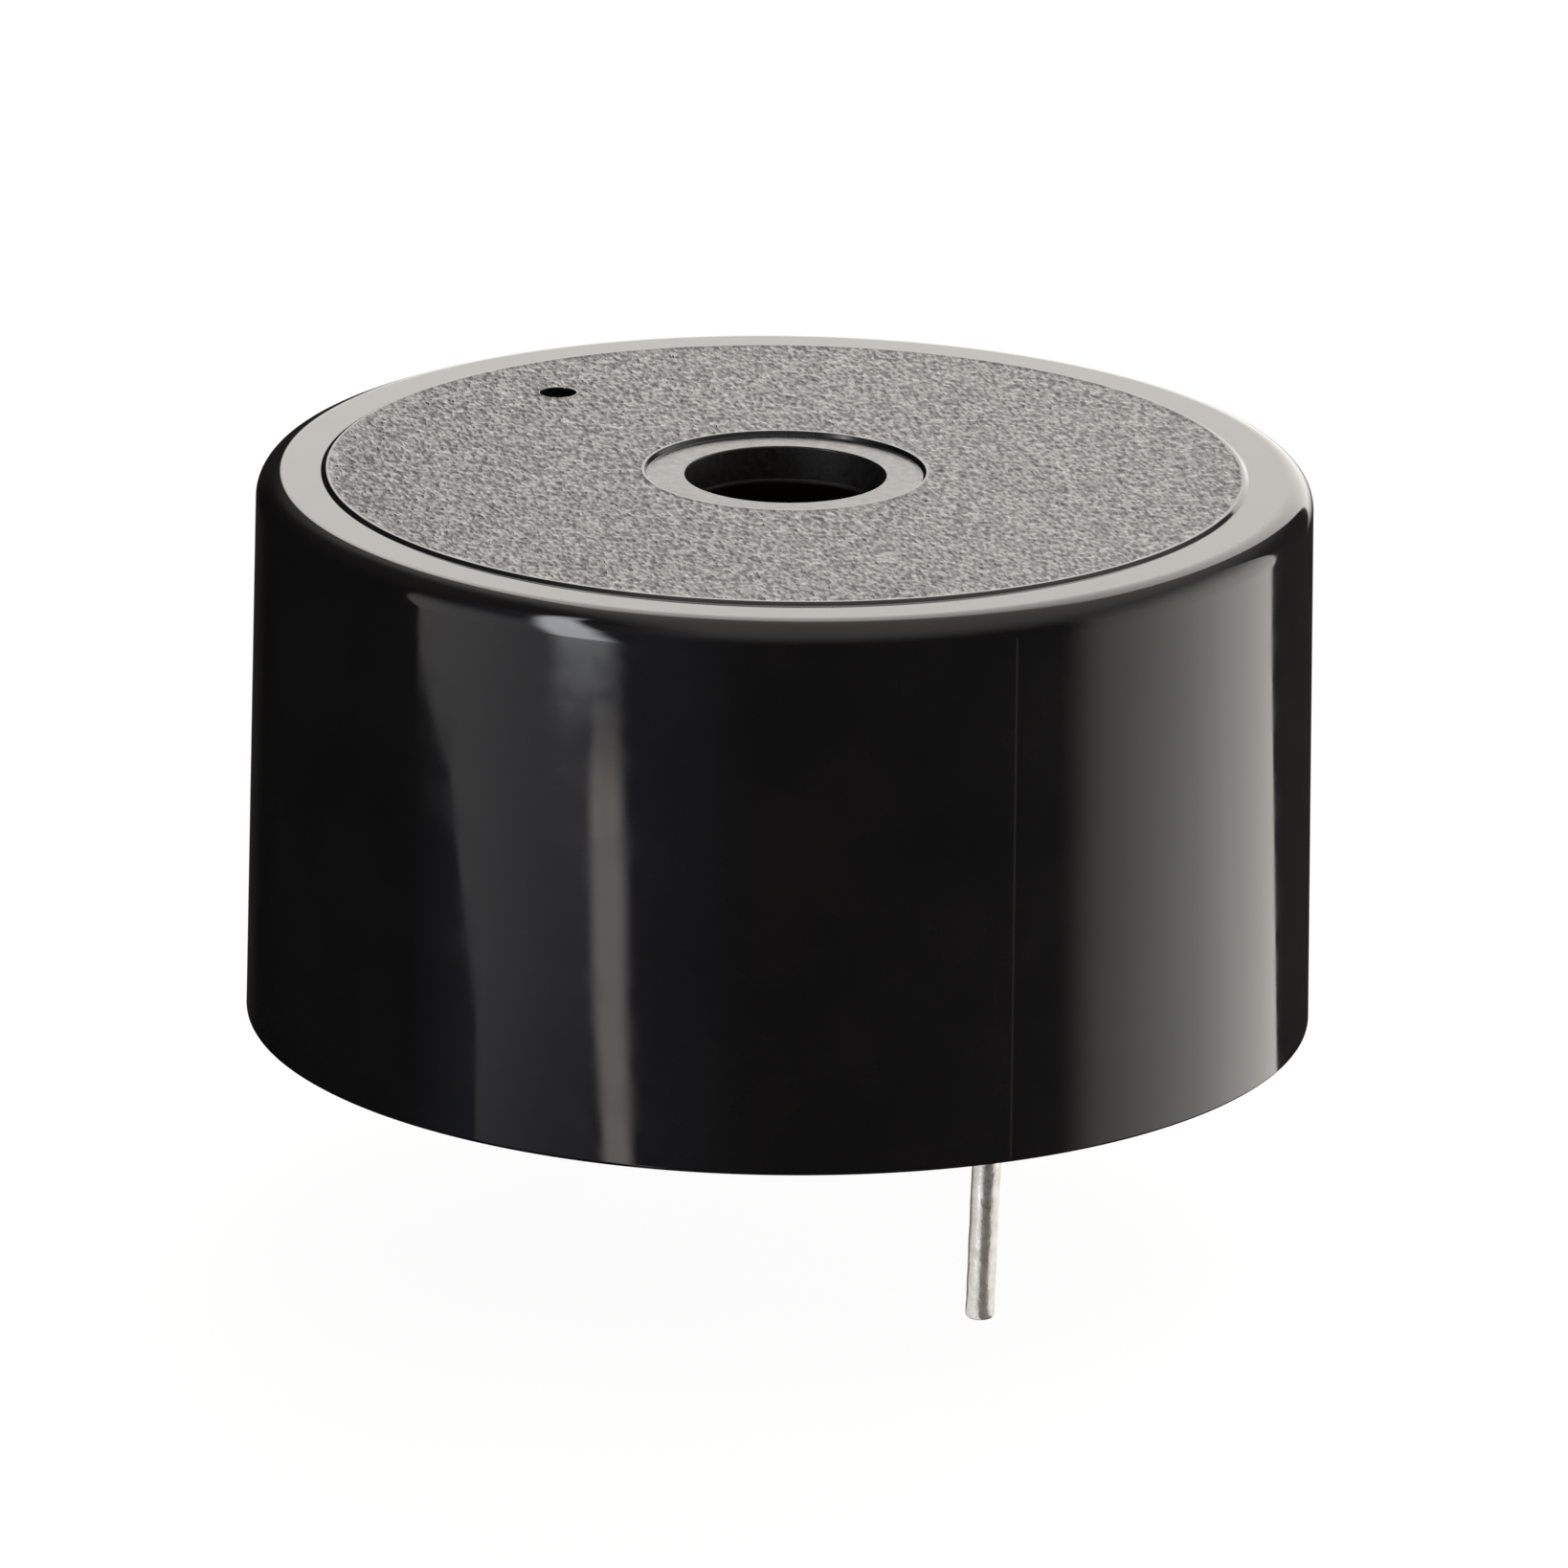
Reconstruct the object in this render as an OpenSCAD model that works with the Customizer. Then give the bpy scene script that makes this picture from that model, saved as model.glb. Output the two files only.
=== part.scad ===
// Round through-hole piezo buzzer with its own oscillator, in millimetres.
// The origin is the centre of the seating edge. +Z points out of the sound hole and the pins lie along X.

/* [Housing outside] */
// Diameter at the seating edge
housing_d = 23.5; // [21:0.5:30]
// Height from the seating edge to the rim
housing_h = 12.3; // [10:0.1:16]
// Draft of the outer wall in degrees
housing_draft = 0.75; // [0.25:0.25:2]
// Radius of the rounded top edge
top_round = 0.6; // [0.2:0.1:0.8]

/* [Face] */
// Width of the smooth rim, from the wall to the foot of the grained pad
rim_w = 1.42; // [1:0.02:2]
// Height of the grained pad over the rim
pad_h = 0.07; // [0.05:0.01:0.3]
// Width of the slope round the outside of the pad
pad_slope = 0.1; // [0.05:0.05:0.3]
// Diameter of the smooth ring round the sound hole
ring_d = 6.08; // [5.2:0.02:8]
// Width of the slope from the ring up to the pad
ring_slope = 0.05; // [0.02:0.01:0.4]
// Depth of that ring under the rim
ring_sink = 0.03; // [0:0.01:0.2]
// Diameter of the sound hole
sound_hole_d = 4.4; // [2:0.1:5]
// Diameter of the polarity dot
dot_d = 0.8; // [0.5:0.1:1.5]
// Depth of the polarity dot
dot_depth = 0.4; // [0.2:0.1:0.6]
// Distance of the polarity dot outside the pin that it marks
dot_offset = 0.3; // [0:0.1:1]
// Angle of the polarity dot round from the line of the pins, in degrees
dot_turn = 2.3; // [0:0.1:6]

/* [Housing inside] */
// Thickness of the top wall under the rim
top_wall = 0.8; // [0.6:0.1:1.5]
// Height of the sound chamber over the diaphragm
chamber_h = 2.9; // [1.5:0.1:4]
// Thickness of the wall at the seating edge
wall = 0.85; // [0.6:0.05:1.2]
// Width of the step that stops the board
board_step = 0.5; // [0.3:0.1:0.8]
// Height of that step over the seating edge
board_step_z = 3.4; // [2.8:0.1:4]
// Width of the ledge that the diaphragm is glued to
ledge_w = 1.2; // [0.8:0.1:2]

/* [Sounding disc] */
// Thickness of the brass plate
plate_t = 0.2; // [0.1:0.05:0.4]
// Radial gap between the brass plate and the bore
plate_clearance = 0.4; // [0.1:0.1:0.6]
// Width of bare brass round the ceramic
brass_margin = 3; // [2.6:0.1:4]
// Thickness of the ceramic
ceramic_t = 0.22; // [0.1:0.02:0.4]
// Width of bare ceramic round the silver
silver_margin = 0.5; // [0.2:0.1:1]
// Thickness of the silver
silver_t = 0.03; // [0.02:0.01:0.06]
// Width of the feedback tongue
tongue_w = 2.4; // [1.8:0.1:3]
// Length of the straight part of the feedback tongue
tongue_l = 2.8; // [2.4:0.1:3.5]
// Gap between the two areas of silver
silver_gap = 0.4; // [0.2:0.1:0.8]
// Radius of the bead of sealant
sealant_r = 1; // [0.7:0.1:1.3]

/* [Circuit board] */
// Thickness of the board
board_t = 1.2; // [0.8:0.2:1.6]
// Radial gap between the board and its bore
board_clearance = 0.1; // [0.05:0.05:0.2]
// Thickness of the copper
track_t = 0.05; // [0.03:0.01:0.1]
// Width of the tracks
track_w = 0.6; // [0.3:0.1:0.8]
// Diameter of the copper round a pin
pin_land_d = 2.4; // [2:0.1:3]
// Diameter of the copper under a lead
lead_land_d = 1.8; // [1.6:0.1:2.4]

/* [Circuit layout] */
// Centre of the collector resistor
collector_resistor_at = [-4, 2.4]; // [-6:0.1:6]
// Centre of the base resistor
base_resistor_at = [-4, -2.4]; // [-6:0.1:6]
// Centre of the feedback resistor
feedback_resistor_at = [0.4, -4.6]; // [-6:0.1:6]
// Centre of the transistor
transistor_at = [0, 0]; // [-2:0.1:2]
// Where the drive lead meets the board
drive_land_at = [1.6, 5.6]; // [-7:0.1:7]
// Where the feedback lead meets the board
feedback_land_at = [4.4, -5.4]; // [-7:0.1:7]
// Where the ground lead meets the board
ground_land_at = [5, 4.4]; // [-7:0.1:7]

/* [Chip resistors] */
// Length of a chip over its end caps
chip_l = 2; // [1.6:0.1:2.4]
// Width of a chip
chip_w = 1.25; // [0.8:0.05:1.4]
// Height of a chip over its end caps
chip_h = 0.55; // [0.4:0.05:0.8]
// Length of an end cap
cap_l = 0.4; // [0.25:0.05:0.6]
// Thickness of an end cap
cap_t = 0.05; // [0.03:0.01:0.1]

/* [Transistor] */
// Length of the moulded body
transistor_l = 2.9; // [2.6:0.1:3.2]
// Width of the moulded body
transistor_w = 1.3; // [1.1:0.1:1.6]
// Height of the moulded body
transistor_h = 0.95; // [0.8:0.05:1.2]
// Gap under the moulded body
transistor_standoff = 0.05; // [0.02:0.01:0.15]
// How far the body's top and bottom edges draw in
transistor_taper = 0.1; // [0.05:0.05:0.2]
// Distance between its two neighbouring leads
lead_frame_pitch = 1.9; // [1.7:0.1:2.1]
// Width of a lead frame leg
leg_w = 0.42; // [0.3:0.02:0.5]
// Thickness of a lead frame leg
leg_t = 0.12; // [0.08:0.02:0.16]
// How far a leg reaches out of the body
leg_reach = 0.55; // [0.45:0.05:0.8]
// Length of a leg's foot
foot_l = 0.3; // [0.2:0.05:0.35]

/* [Pins] */
// Distance between the pins
pin_pitch = 15; // [12.5:0.5:16]
// Diameter of the pins
pin_d = 0.65; // [0.5:0.05:0.8]
// Length of the pins under the seating edge
pin_l = 5.15; // [3:0.05:10]
// Bevel on the cut end of a pin
pin_bevel = 0.05; // [0.05:0.05:0.2]
// Diameter of a pin inside the part
shank_d = 1; // [0.9:0.1:1.2]
// Diameter of the collar that stops a pin at the board
collar_d = 1.6; // [1.4:0.1:2]
// Height of that collar
collar_h = 0.5; // [0.3:0.1:0.8]
// Radial gap between a pin and its hole in the board
pin_clearance = 0.05; // [0.02:0.01:0.15]
// Height of a pin's tail over the board
tail_h = 0.8; // [0.6:0.1:1.5]

/* [Potting] */
// Depth of the potting inside the seating edge
potting_recess = 0.4; // [0.3:0.1:0.8]
// How far the potting climbs the wall
potting_creep = 0.2; // [0.05:0.05:0.25]

/* [Leads and solder] */
// Diameter of the leads
lead_d = 0.45; // [0.3:0.05:0.6]
// Length over which a lead leaves its joints straight
lead_straight = 2.4; // [1:0.2:3]
// Direction of the ground lead's joint on the plate, in degrees
ground_angle = 30; // [20:5:60]
// Distance of the dots of solder from the edge of the silver
dot_inset = 1.6; // [1:0.1:2.2]
// Diameter of a dot of solder on the disc
element_dot_d = 1.4; // [1.1:0.1:1.8]
// Height of a dot of solder on the disc
element_dot_h = 0.4; // [0.2:0.1:0.6]
// Diameter of a lead's joint on the board
board_dot_d = 1.5; // [1.1:0.1:1.6]
// Height of a lead's joint on the board
board_dot_h = 0.5; // [0.3:0.1:0.8]
// Width of solder left flat round the end of a lead
dot_flat = 0.1; // [0.05:0.05:0.2]
// Diameter of a pin's solder collar on the board
pin_solder_d = 2; // [1.6:0.1:2.4]
// Length of a pin's tail that stands out of its solder
tail_bare = 0.2; // [0.1:0.1:0.4]
// Thickness of solder at the top of a pin's collar
pin_solder_edge = 0.1; // [0.05:0.05:0.2]

/* [Hidden] */
$fn = 96;
lead_sides = 8;
lead_rings = 16;

// Radii, from the wall inwards
housing_r = housing_d / 2;
board_bore_r = housing_r - wall;
bore_r = board_bore_r - board_step;
chamber_r = bore_r - ledge_w;
plate_r = bore_r - plate_clearance;
ceramic_r = plate_r - brass_margin;
silver_r = ceramic_r - silver_margin;
board_r = board_bore_r - board_clearance;
shank_r = shank_d / 2;

// Heights, from the top down
pad_z = housing_h + pad_h;
ring_z = housing_h - ring_sink;
chamber_z = housing_h - top_wall;
ledge_z = chamber_z - chamber_h;
plate_z = ledge_z - plate_t;
ceramic_z = plate_z - ceramic_t;
silver_z = ceramic_z - silver_t;
board_top = board_step_z;
board_under = board_top - board_t;
copper_z = board_top + track_t;
tail_z = copper_z + tail_h;

// Radii on the face
rim_r = housing_r - housing_h * tan(housing_draft);
pad_foot_r = rim_r - rim_w;
pad_r = pad_foot_r - pad_slope;
ring_r = ring_d / 2;
ring_top_r = ring_r + ring_slope;
hole_r = sound_hole_d / 2;
dot_at = -(pin_pitch / 2 + dot_offset) * [cos(dot_turn), sin(dot_turn)];

// Places of the pins and of the joints at both ends of each lead
positive_at = [-pin_pitch / 2, 0];
negative_at = [pin_pitch / 2, 0];
ground_r = (ceramic_r + bore_r - sealant_r) / 2;
ground_dot_at = ground_r * [cos(ground_angle), sin(ground_angle)];
drive_dot_at = [0, silver_r - dot_inset];
feedback_dot_at = [0, -silver_r + dot_inset];

// Places of the transistor's feet
foot_y = transistor_w / 2 + leg_reach - foot_l / 2;
collector_at = transistor_at + [0, foot_y];
base_at = transistor_at + [-lead_frame_pitch / 2, -foot_y];
emitter_at = transistor_at + [lead_frame_pitch / 2, -foot_y];
leg_z = copper_z + transistor_standoff + (transistor_h - leg_t) / 2;

// Centre of one end cap of a chip, side being -1 or 1
function cap_at(chip_at, side) = chip_at + [side * (chip_l - cap_l) / 2, 0];

// Point on a lead that leaves its upper end and meets its lower end straight up and down
function lead_point(top, bottom, t) =
    let (leave = top - [0, 0, lead_straight], meet = bottom + [0, 0, lead_straight])
    pow(1 - t, 3) * top + 3 * pow(1 - t, 2) * t * leave + 3 * (1 - t) * t * t * meet + pow(t, 3) * bottom;

// Direction of the lead at the same point
function lead_direction(top, bottom, t) =
    let (leave = top - [0, 0, lead_straight], meet = bottom + [0, 0, lead_straight])
    let (d = pow(1 - t, 2) * (leave - top) + 2 * (1 - t) * t * (meet - leave) + t * t * (bottom - meet))
    d / norm(d);

// Section of the moulded cup, with the sector that rounds its top edge
module housing_section() {
    round_z = housing_h - top_round;
    centre = [housing_r - round_z * tan(housing_draft) - top_round / cos(housing_draft), round_z];
    outward = top_round * [cos(housing_draft), sin(housing_draft)];
    upward = [0, top_round];
    polygon([
        [board_bore_r, 0], [housing_r, 0], centre + outward, centre, centre + upward,
        [pad_foot_r, housing_h], [pad_r, pad_z], [ring_top_r, pad_z], [ring_r, ring_z], [hole_r, ring_z],
        [hole_r, chamber_z], [chamber_r, chamber_z], [chamber_r, ledge_z], [bore_r, ledge_z],
        [bore_r, board_step_z], [board_bore_r, board_step_z]
    ]);
    intersection() {
        translate(centre) circle(r = top_round);
        polygon([centre, centre + 2 * outward, centre + 2 * (outward + upward), centre + 2 * upward]);
    }
}

module housing() {
    color([0.05, 0.05, 0.055])
    difference() {
        rotate_extrude() housing_section();
        translate([dot_at.x, dot_at.y, pad_z - dot_depth]) cylinder(d = dot_d, h = 2 * dot_depth);
    }
}

// Turned pin: thin lead with a bevelled end, shank in the potting, collar under the board, tail above it
module pin() {
    rotate_extrude() polygon([
        [0, -pin_l], [pin_d / 2 - pin_bevel, -pin_l], [pin_d / 2, -pin_l + pin_bevel],
        [pin_d / 2, potting_recess], [shank_r, potting_recess], [shank_r, board_under - collar_h],
        [collar_d / 2, board_under - collar_h], [collar_d / 2, board_under], [shank_r, board_under],
        [shank_r, tail_z], [0, tail_z]
    ]);
}

module positive_pin() {
    color([0.78, 0.77, 0.74]) translate(positive_at) pin();
}

module negative_pin() {
    color([0.78, 0.77, 0.74]) translate(negative_at) pin();
}

module diaphragm_plate() {
    color([0.8, 0.62, 0.28]) translate([0, 0, plate_z]) cylinder(r = plate_r, h = plate_t);
}

module piezo_ceramic() {
    color([0.86, 0.84, 0.76]) translate([0, 0, ceramic_z]) cylinder(r = ceramic_r, h = ceramic_t);
}

// Outline of the feedback tongue, grown by a margin, from beyond the edge of the silver inwards
module tongue(margin) {
    end_r = tongue_w / 2 + margin;
    translate([0, -silver_r]) {
        translate([-end_r, -margin - silver_margin]) square([2 * end_r, tongue_l + margin + silver_margin]);
        translate([0, tongue_l]) intersection() {
            circle(r = end_r);
            translate([-end_r, 0]) square([2 * end_r, end_r]);
        }
    }
}

module main_electrode() {
    color([0.75, 0.75, 0.74]) translate([0, 0, silver_z]) linear_extrude(silver_t) difference() {
        circle(r = silver_r);
        tongue(silver_gap);
    }
}

module feedback_electrode() {
    color([0.75, 0.75, 0.74]) translate([0, 0, silver_z]) linear_extrude(silver_t) intersection() {
        circle(r = silver_r);
        tongue(0);
    }
}

// Quarter-round bead in the corner of plate and bore, which also fills the gap round the plate
module diaphragm_sealant() {
    color([0.85, 0.85, 0.83]) rotate_extrude() {
        intersection() {
            translate([bore_r, plate_z]) circle(r = sealant_r);
            translate([bore_r - sealant_r, plate_z - sealant_r]) square(sealant_r);
        }
        translate([plate_r, plate_z]) square([plate_clearance, plate_t]);
    }
}

module pin_holes(height) {
    for (at = [positive_at, negative_at]) translate(at) cylinder(r = shank_r + pin_clearance, h = height);
}

module circuit_board() {
    color([0.25, 0.42, 0.2]) difference() {
        translate([0, 0, board_under]) cylinder(r = board_r, h = board_t);
        pin_holes(housing_h);
    }
}

// One straight track with round ends
module track(from, to) {
    along = to - from;
    translate(from) rotate(atan2(along.y, along.x))
        translate([0, -track_w / 2]) square([norm(along), track_w]);
    for (end = [from, to]) translate(end) circle(d = track_w);
}

module chip_land(at) {
    translate(at) square([cap_l + track_w, chip_w], center = true);
}

module foot_land(at) {
    translate(at) square([leg_w + track_w / 2, foot_l + track_w / 2], center = true);
}

module round_land(at, d) {
    translate(at) circle(d = d);
}

module supply_net() {
    for (chip_at = [collector_resistor_at, base_resistor_at]) {
        track(positive_at, cap_at(chip_at, -1));
        chip_land(cap_at(chip_at, -1));
    }
    round_land(positive_at, pin_land_d);
}

module drive_net() {
    track(cap_at(collector_resistor_at, 1), collector_at);
    track(collector_at, drive_land_at);
    chip_land(cap_at(collector_resistor_at, 1));
    foot_land(collector_at);
    round_land(drive_land_at, lead_land_d);
}

module base_net() {
    track(cap_at(base_resistor_at, 1), base_at);
    track(base_at, cap_at(feedback_resistor_at, -1));
    chip_land(cap_at(base_resistor_at, 1));
    chip_land(cap_at(feedback_resistor_at, -1));
    foot_land(base_at);
}

module feedback_net() {
    track(cap_at(feedback_resistor_at, 1), feedback_land_at);
    chip_land(cap_at(feedback_resistor_at, 1));
    round_land(feedback_land_at, lead_land_d);
}

module ground_net() {
    track(emitter_at, negative_at);
    track(negative_at, ground_land_at);
    foot_land(emitter_at);
    round_land(negative_at, pin_land_d);
    round_land(ground_land_at, lead_land_d);
}

module copper_tracks() {
    color([0.72, 0.45, 0.2]) difference() {
        translate([0, 0, board_top]) {
            linear_extrude(track_t) supply_net();
            linear_extrude(track_t) drive_net();
            linear_extrude(track_t) base_net();
            linear_extrude(track_t) feedback_net();
            linear_extrude(track_t) ground_net();
        }
        pin_holes(housing_h);
    }
}

// Moulded body, widest at the height of its leads
module transistor() {
    size = [transistor_l, transistor_w];
    narrow = size - 2 * [transistor_taper, transistor_taper];
    under = copper_z + transistor_standoff;
    skin = leg_t / 4;
    color([0.09, 0.09, 0.09]) translate(transistor_at) hull() {
        translate([0, 0, leg_z]) linear_extrude(leg_t) square(size, center = true);
        translate([0, 0, under]) linear_extrude(skin) square(narrow, center = true);
        translate([0, 0, under + transistor_h - skin]) linear_extrude(skin) square(narrow, center = true);
    }
}

// Gull-wing leg that leaves the body at y = 0 and stands on the copper
module leg() {
    drop = leg_z - copper_z;
    heel = leg_reach - foot_l - leg_t;
    translate([leg_w / 2, 0, leg_z]) rotate([90, 0, -90]) linear_extrude(leg_w) polygon([
        [0, 0], [-heel, 0], [-heel, -drop], [-leg_reach, -drop], [-leg_reach, leg_t - drop],
        [-heel - leg_t, leg_t - drop], [-heel - leg_t, leg_t], [0, leg_t]
    ]);
}

module transistor_leads() {
    side = transistor_w / 2;
    color([0.76, 0.76, 0.75]) translate(transistor_at) {
        translate([0, side]) leg();
        for (x = [-1, 1]) translate([x * lead_frame_pitch / 2, -side]) rotate(180) leg();
    }
}

module chip_body(at, tint) {
    size = [chip_l - 2 * cap_t, chip_w, chip_h - 2 * cap_t];
    color(tint) translate([at.x, at.y, copper_z + chip_h / 2]) cube(size, center = true);
}

module collector_resistor() {
    chip_body(collector_resistor_at, [0.1, 0.1, 0.11]);
}

module base_resistor() {
    chip_body(base_resistor_at, [0.1, 0.1, 0.11]);
}

module feedback_resistor() {
    chip_body(feedback_resistor_at, [0.1, 0.1, 0.11]);
}

// Metal cap folded over one end of a chip
module end_cap() {
    translate([0, chip_w / 2]) rotate([90, 0, 0]) linear_extrude(chip_w) difference() {
        square([cap_l, chip_h]);
        translate([cap_t, cap_t]) square([cap_l, chip_h - 2 * cap_t]);
    }
}

module resistor_end_caps() {
    color([0.8, 0.8, 0.79])
    for (at = [collector_resistor_at, base_resistor_at, feedback_resistor_at], turn = [0, 180])
        translate([at.x, at.y, copper_z]) rotate(turn) translate([-chip_l / 2, 0]) end_cap();
}

module pin_solder_joints() {
    solder_h = tail_h - tail_bare;
    color([0.74, 0.74, 0.73]) for (at = [positive_at, negative_at])
        translate([at.x, at.y, copper_z]) difference() {
            cylinder(d1 = pin_solder_d, r2 = shank_r + pin_solder_edge, h = solder_h);
            translate([0, 0, -solder_h]) cylinder(r = shank_r, h = 3 * solder_h);
        }
}

// Slice of a sphere that stands on z = 0 and ends in a flat for the lead
module solder_dome(base_d, h) {
    base_r = base_d / 2;
    flat_r = lead_d / 2 + dot_flat;
    sunk = (base_r * base_r - flat_r * flat_r - h * h) / (2 * h);
    rotate_extrude() intersection() {
        translate([0, -sunk]) circle(r = norm([base_r, sunk]));
        square([base_r, h]);
    }
}

module element_solder_dots() {
    color([0.74, 0.74, 0.73]) {
        translate([ground_dot_at.x, ground_dot_at.y, plate_z]) mirror([0, 0, 1])
            solder_dome(element_dot_d, element_dot_h);
        for (at = [drive_dot_at, feedback_dot_at]) translate([at.x, at.y, silver_z]) mirror([0, 0, 1])
            solder_dome(element_dot_d, element_dot_h);
    }
}

module board_lead_joints() {
    color([0.74, 0.74, 0.73]) for (at = [ground_land_at, drive_land_at, feedback_land_at])
        translate([at.x, at.y, copper_z]) solder_dome(board_dot_d, board_dot_h);
}

// Round wire swept from a joint on the disc down to a joint on the board
module lead(top_at, surface_z, bottom_at) {
    top = [top_at.x, top_at.y, surface_z - element_dot_h];
    bottom = [bottom_at.x, bottom_at.y, copper_z + board_dot_h];
    across = cross([0, 0, 1], bottom - top);
    side = across / norm(across);
    points = [
        for (ring = [0 : lead_rings], corner = [0 : lead_sides - 1])
            let (t = ring / lead_rings, turn = 360 * corner / lead_sides)
            let (up = cross(side, lead_direction(top, bottom, t)))
            lead_point(top, bottom, t) + lead_d / 2 * (cos(turn) * side + sin(turn) * up)
    ];
    walls = [
        for (ring = [0 : lead_rings - 1], corner = [0 : lead_sides - 1])
            let (first = ring * lead_sides, next = (corner + 1) % lead_sides)
            [first + corner, first + next, first + lead_sides + next, first + lead_sides + corner]
    ];
    first_end = [for (corner = [lead_sides - 1 : -1 : 0]) corner];
    last_end = [for (corner = [0 : lead_sides - 1]) lead_rings * lead_sides + corner];
    polyhedron(points, concat([first_end, last_end], walls));
}

module ground_lead() {
    color([0.1, 0.1, 0.1]) lead(ground_dot_at, plate_z, ground_land_at);
}

module drive_lead() {
    color([0.6, 0.08, 0.06]) lead(drive_dot_at, silver_z, drive_land_at);
}

module feedback_lead() {
    color([0.1, 0.2, 0.55]) lead(feedback_dot_at, silver_z, feedback_land_at);
}

// Epoxy cast over the board, round the pins, with a raised edge where it wets the wall
module potting() {
    color([0.06, 0.06, 0.06]) difference() {
        rotate_extrude() polygon([
            [0, potting_recess], [board_bore_r - potting_creep, potting_recess],
            [board_bore_r, potting_recess - potting_creep], [board_bore_r, board_under], [0, board_under]
        ]);
        for (at = [positive_at, negative_at]) translate(at) pin();
    }
}

housing();
positive_pin();
negative_pin();
diaphragm_plate();
piezo_ceramic();
main_electrode();
feedback_electrode();
diaphragm_sealant();
circuit_board();
copper_tracks();
transistor();
transistor_leads();
collector_resistor();
base_resistor();
feedback_resistor();
resistor_end_caps();
pin_solder_joints();
ground_lead();
drive_lead();
feedback_lead();
element_solder_dots();
board_lead_joints();
potting();
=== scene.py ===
"""Piezo buzzer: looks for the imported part, in metres, in the part's own frame."""
import math

import bmesh
import bpy
import numpy as np
from mathutils import Matrix, Vector


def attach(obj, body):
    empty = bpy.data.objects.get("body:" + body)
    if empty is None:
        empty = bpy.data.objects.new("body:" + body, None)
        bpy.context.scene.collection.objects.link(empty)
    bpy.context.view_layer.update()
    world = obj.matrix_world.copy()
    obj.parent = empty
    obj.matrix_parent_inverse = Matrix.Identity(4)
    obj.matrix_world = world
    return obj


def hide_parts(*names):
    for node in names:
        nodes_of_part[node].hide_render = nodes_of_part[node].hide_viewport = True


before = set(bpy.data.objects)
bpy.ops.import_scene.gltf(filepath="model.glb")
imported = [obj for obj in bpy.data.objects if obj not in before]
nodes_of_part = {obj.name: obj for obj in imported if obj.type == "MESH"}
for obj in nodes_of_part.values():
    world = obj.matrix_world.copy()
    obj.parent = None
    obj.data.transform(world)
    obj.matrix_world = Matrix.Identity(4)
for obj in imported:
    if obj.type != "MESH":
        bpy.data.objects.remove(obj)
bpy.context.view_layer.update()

scene = bpy.context.scene
MM = 0.001
TURN = 2 * math.pi
AXIS = (0, 0)

# Points nearer to each other than this, in metres, become one
MERGE = 1e-6

# Sizes of the housing in millimetres, as in the part's source
HOUSING_R = 11.75
RIM_Z = 12.3
DRAFT = math.radians(0.75)
TOP_ROUND = 0.6
PAD_FOOT_R = 10.169
PAD_R = 10.069
PAD_Z = 12.37
RING_R = 3.04
RING_TOP_R = 3.09
RING_Z = 12.27
HOLE_R = 2.2
CHAMBER_R = 9.2
CHAMBER_Z = 11.5
LEDGE_Z = 8.6
BORE_R = 10.4
BOARD_BORE_R = 10.9
BOARD_STEP_Z = 3.4
BOARD_UNDER = 2.2
DOT_REACH = 7.8
DOT_TURN = math.radians(182.3)
DOT_R = 0.4
DOT_DEPTH = 0.4
DOT_AT = (DOT_REACH * math.cos(DOT_TURN), DOT_REACH * math.sin(DOT_TURN))

# Sizes of the pins, the potting and the leads, as in the part's source
PIN_X = 7.5
PIN_R = 0.325
PIN_TIP = -5.15
PIN_BEVEL = 0.05
SHANK_R = 0.5
COLLAR_R = 0.8
COLLAR_Z = 1.7
TAIL_Z = 4.25
POTTING_Z = 0.4
LEAD_R = 0.225
LEAD_STRAIGHT = 2.4
GROUND_R = 8.2
GROUND_ANGLE = math.radians(30)

# Camera of the photograph: turned round the part, raised, rolled, and how far it stands off
VIEW_AZIMUTH = math.radians(51.6)
VIEW_ELEVATION = math.radians(17.305)
VIEW_ROLL = math.radians(0.834)
VIEW_DISTANCE = 368.44
VIEW_LENS = 383.67
VIEW_SENSOR = 36.0
VIEW_RIGHT = 0.075
VIEW_HEIGHT = 5.157


# Node helpers

def put(tree, value, socket):
    """Links a node's output to the socket, or sets a plain value on it."""
    if isinstance(value, bpy.types.NodeSocket):
        tree.links.new(value, socket)
    else:
        socket.default_value = value


def node(tree, kind, inputs=None, **settings):
    """A new node with its settings made and its inputs linked or set."""
    made = tree.nodes.new(kind)
    for name, value in settings.items():
        setattr(made, name, value)
    for name, value in (inputs or {}).items():
        put(tree, value, made.inputs[name])
    return made


def maths(tree, operation, *values):
    return node(tree, "ShaderNodeMath", dict(enumerate(values)), operation=operation).outputs[0]


def vector_maths(tree, operation, inputs, output="Vector"):
    return node(tree, "ShaderNodeVectorMath", inputs, operation=operation).outputs[output]


def noise(tree, place, scale, detail):
    inputs = {"Vector": place, "Scale": scale, "Detail": detail}
    return node(tree, "ShaderNodeTexNoise", inputs).outputs[0]


def ramp(tree, value, low, high, to_low=0.0, to_high=1.0, kind="SMOOTHSTEP"):
    """Value mapped from low..high, limited to the ends."""
    inputs = {"Value": value, "From Min": low, "From Max": high, "To Min": to_low, "To Max": to_high}
    return node(tree, "ShaderNodeMapRange", inputs, interpolation_type=kind).outputs["Result"]


def mix(tree, share, first, second):
    """A colour between two. The sockets of a Mix node share their names, so they go by number."""
    return node(tree, "ShaderNodeMix", {0: share, 6: first, 7: second}, data_type="RGBA").outputs[2]


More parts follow.
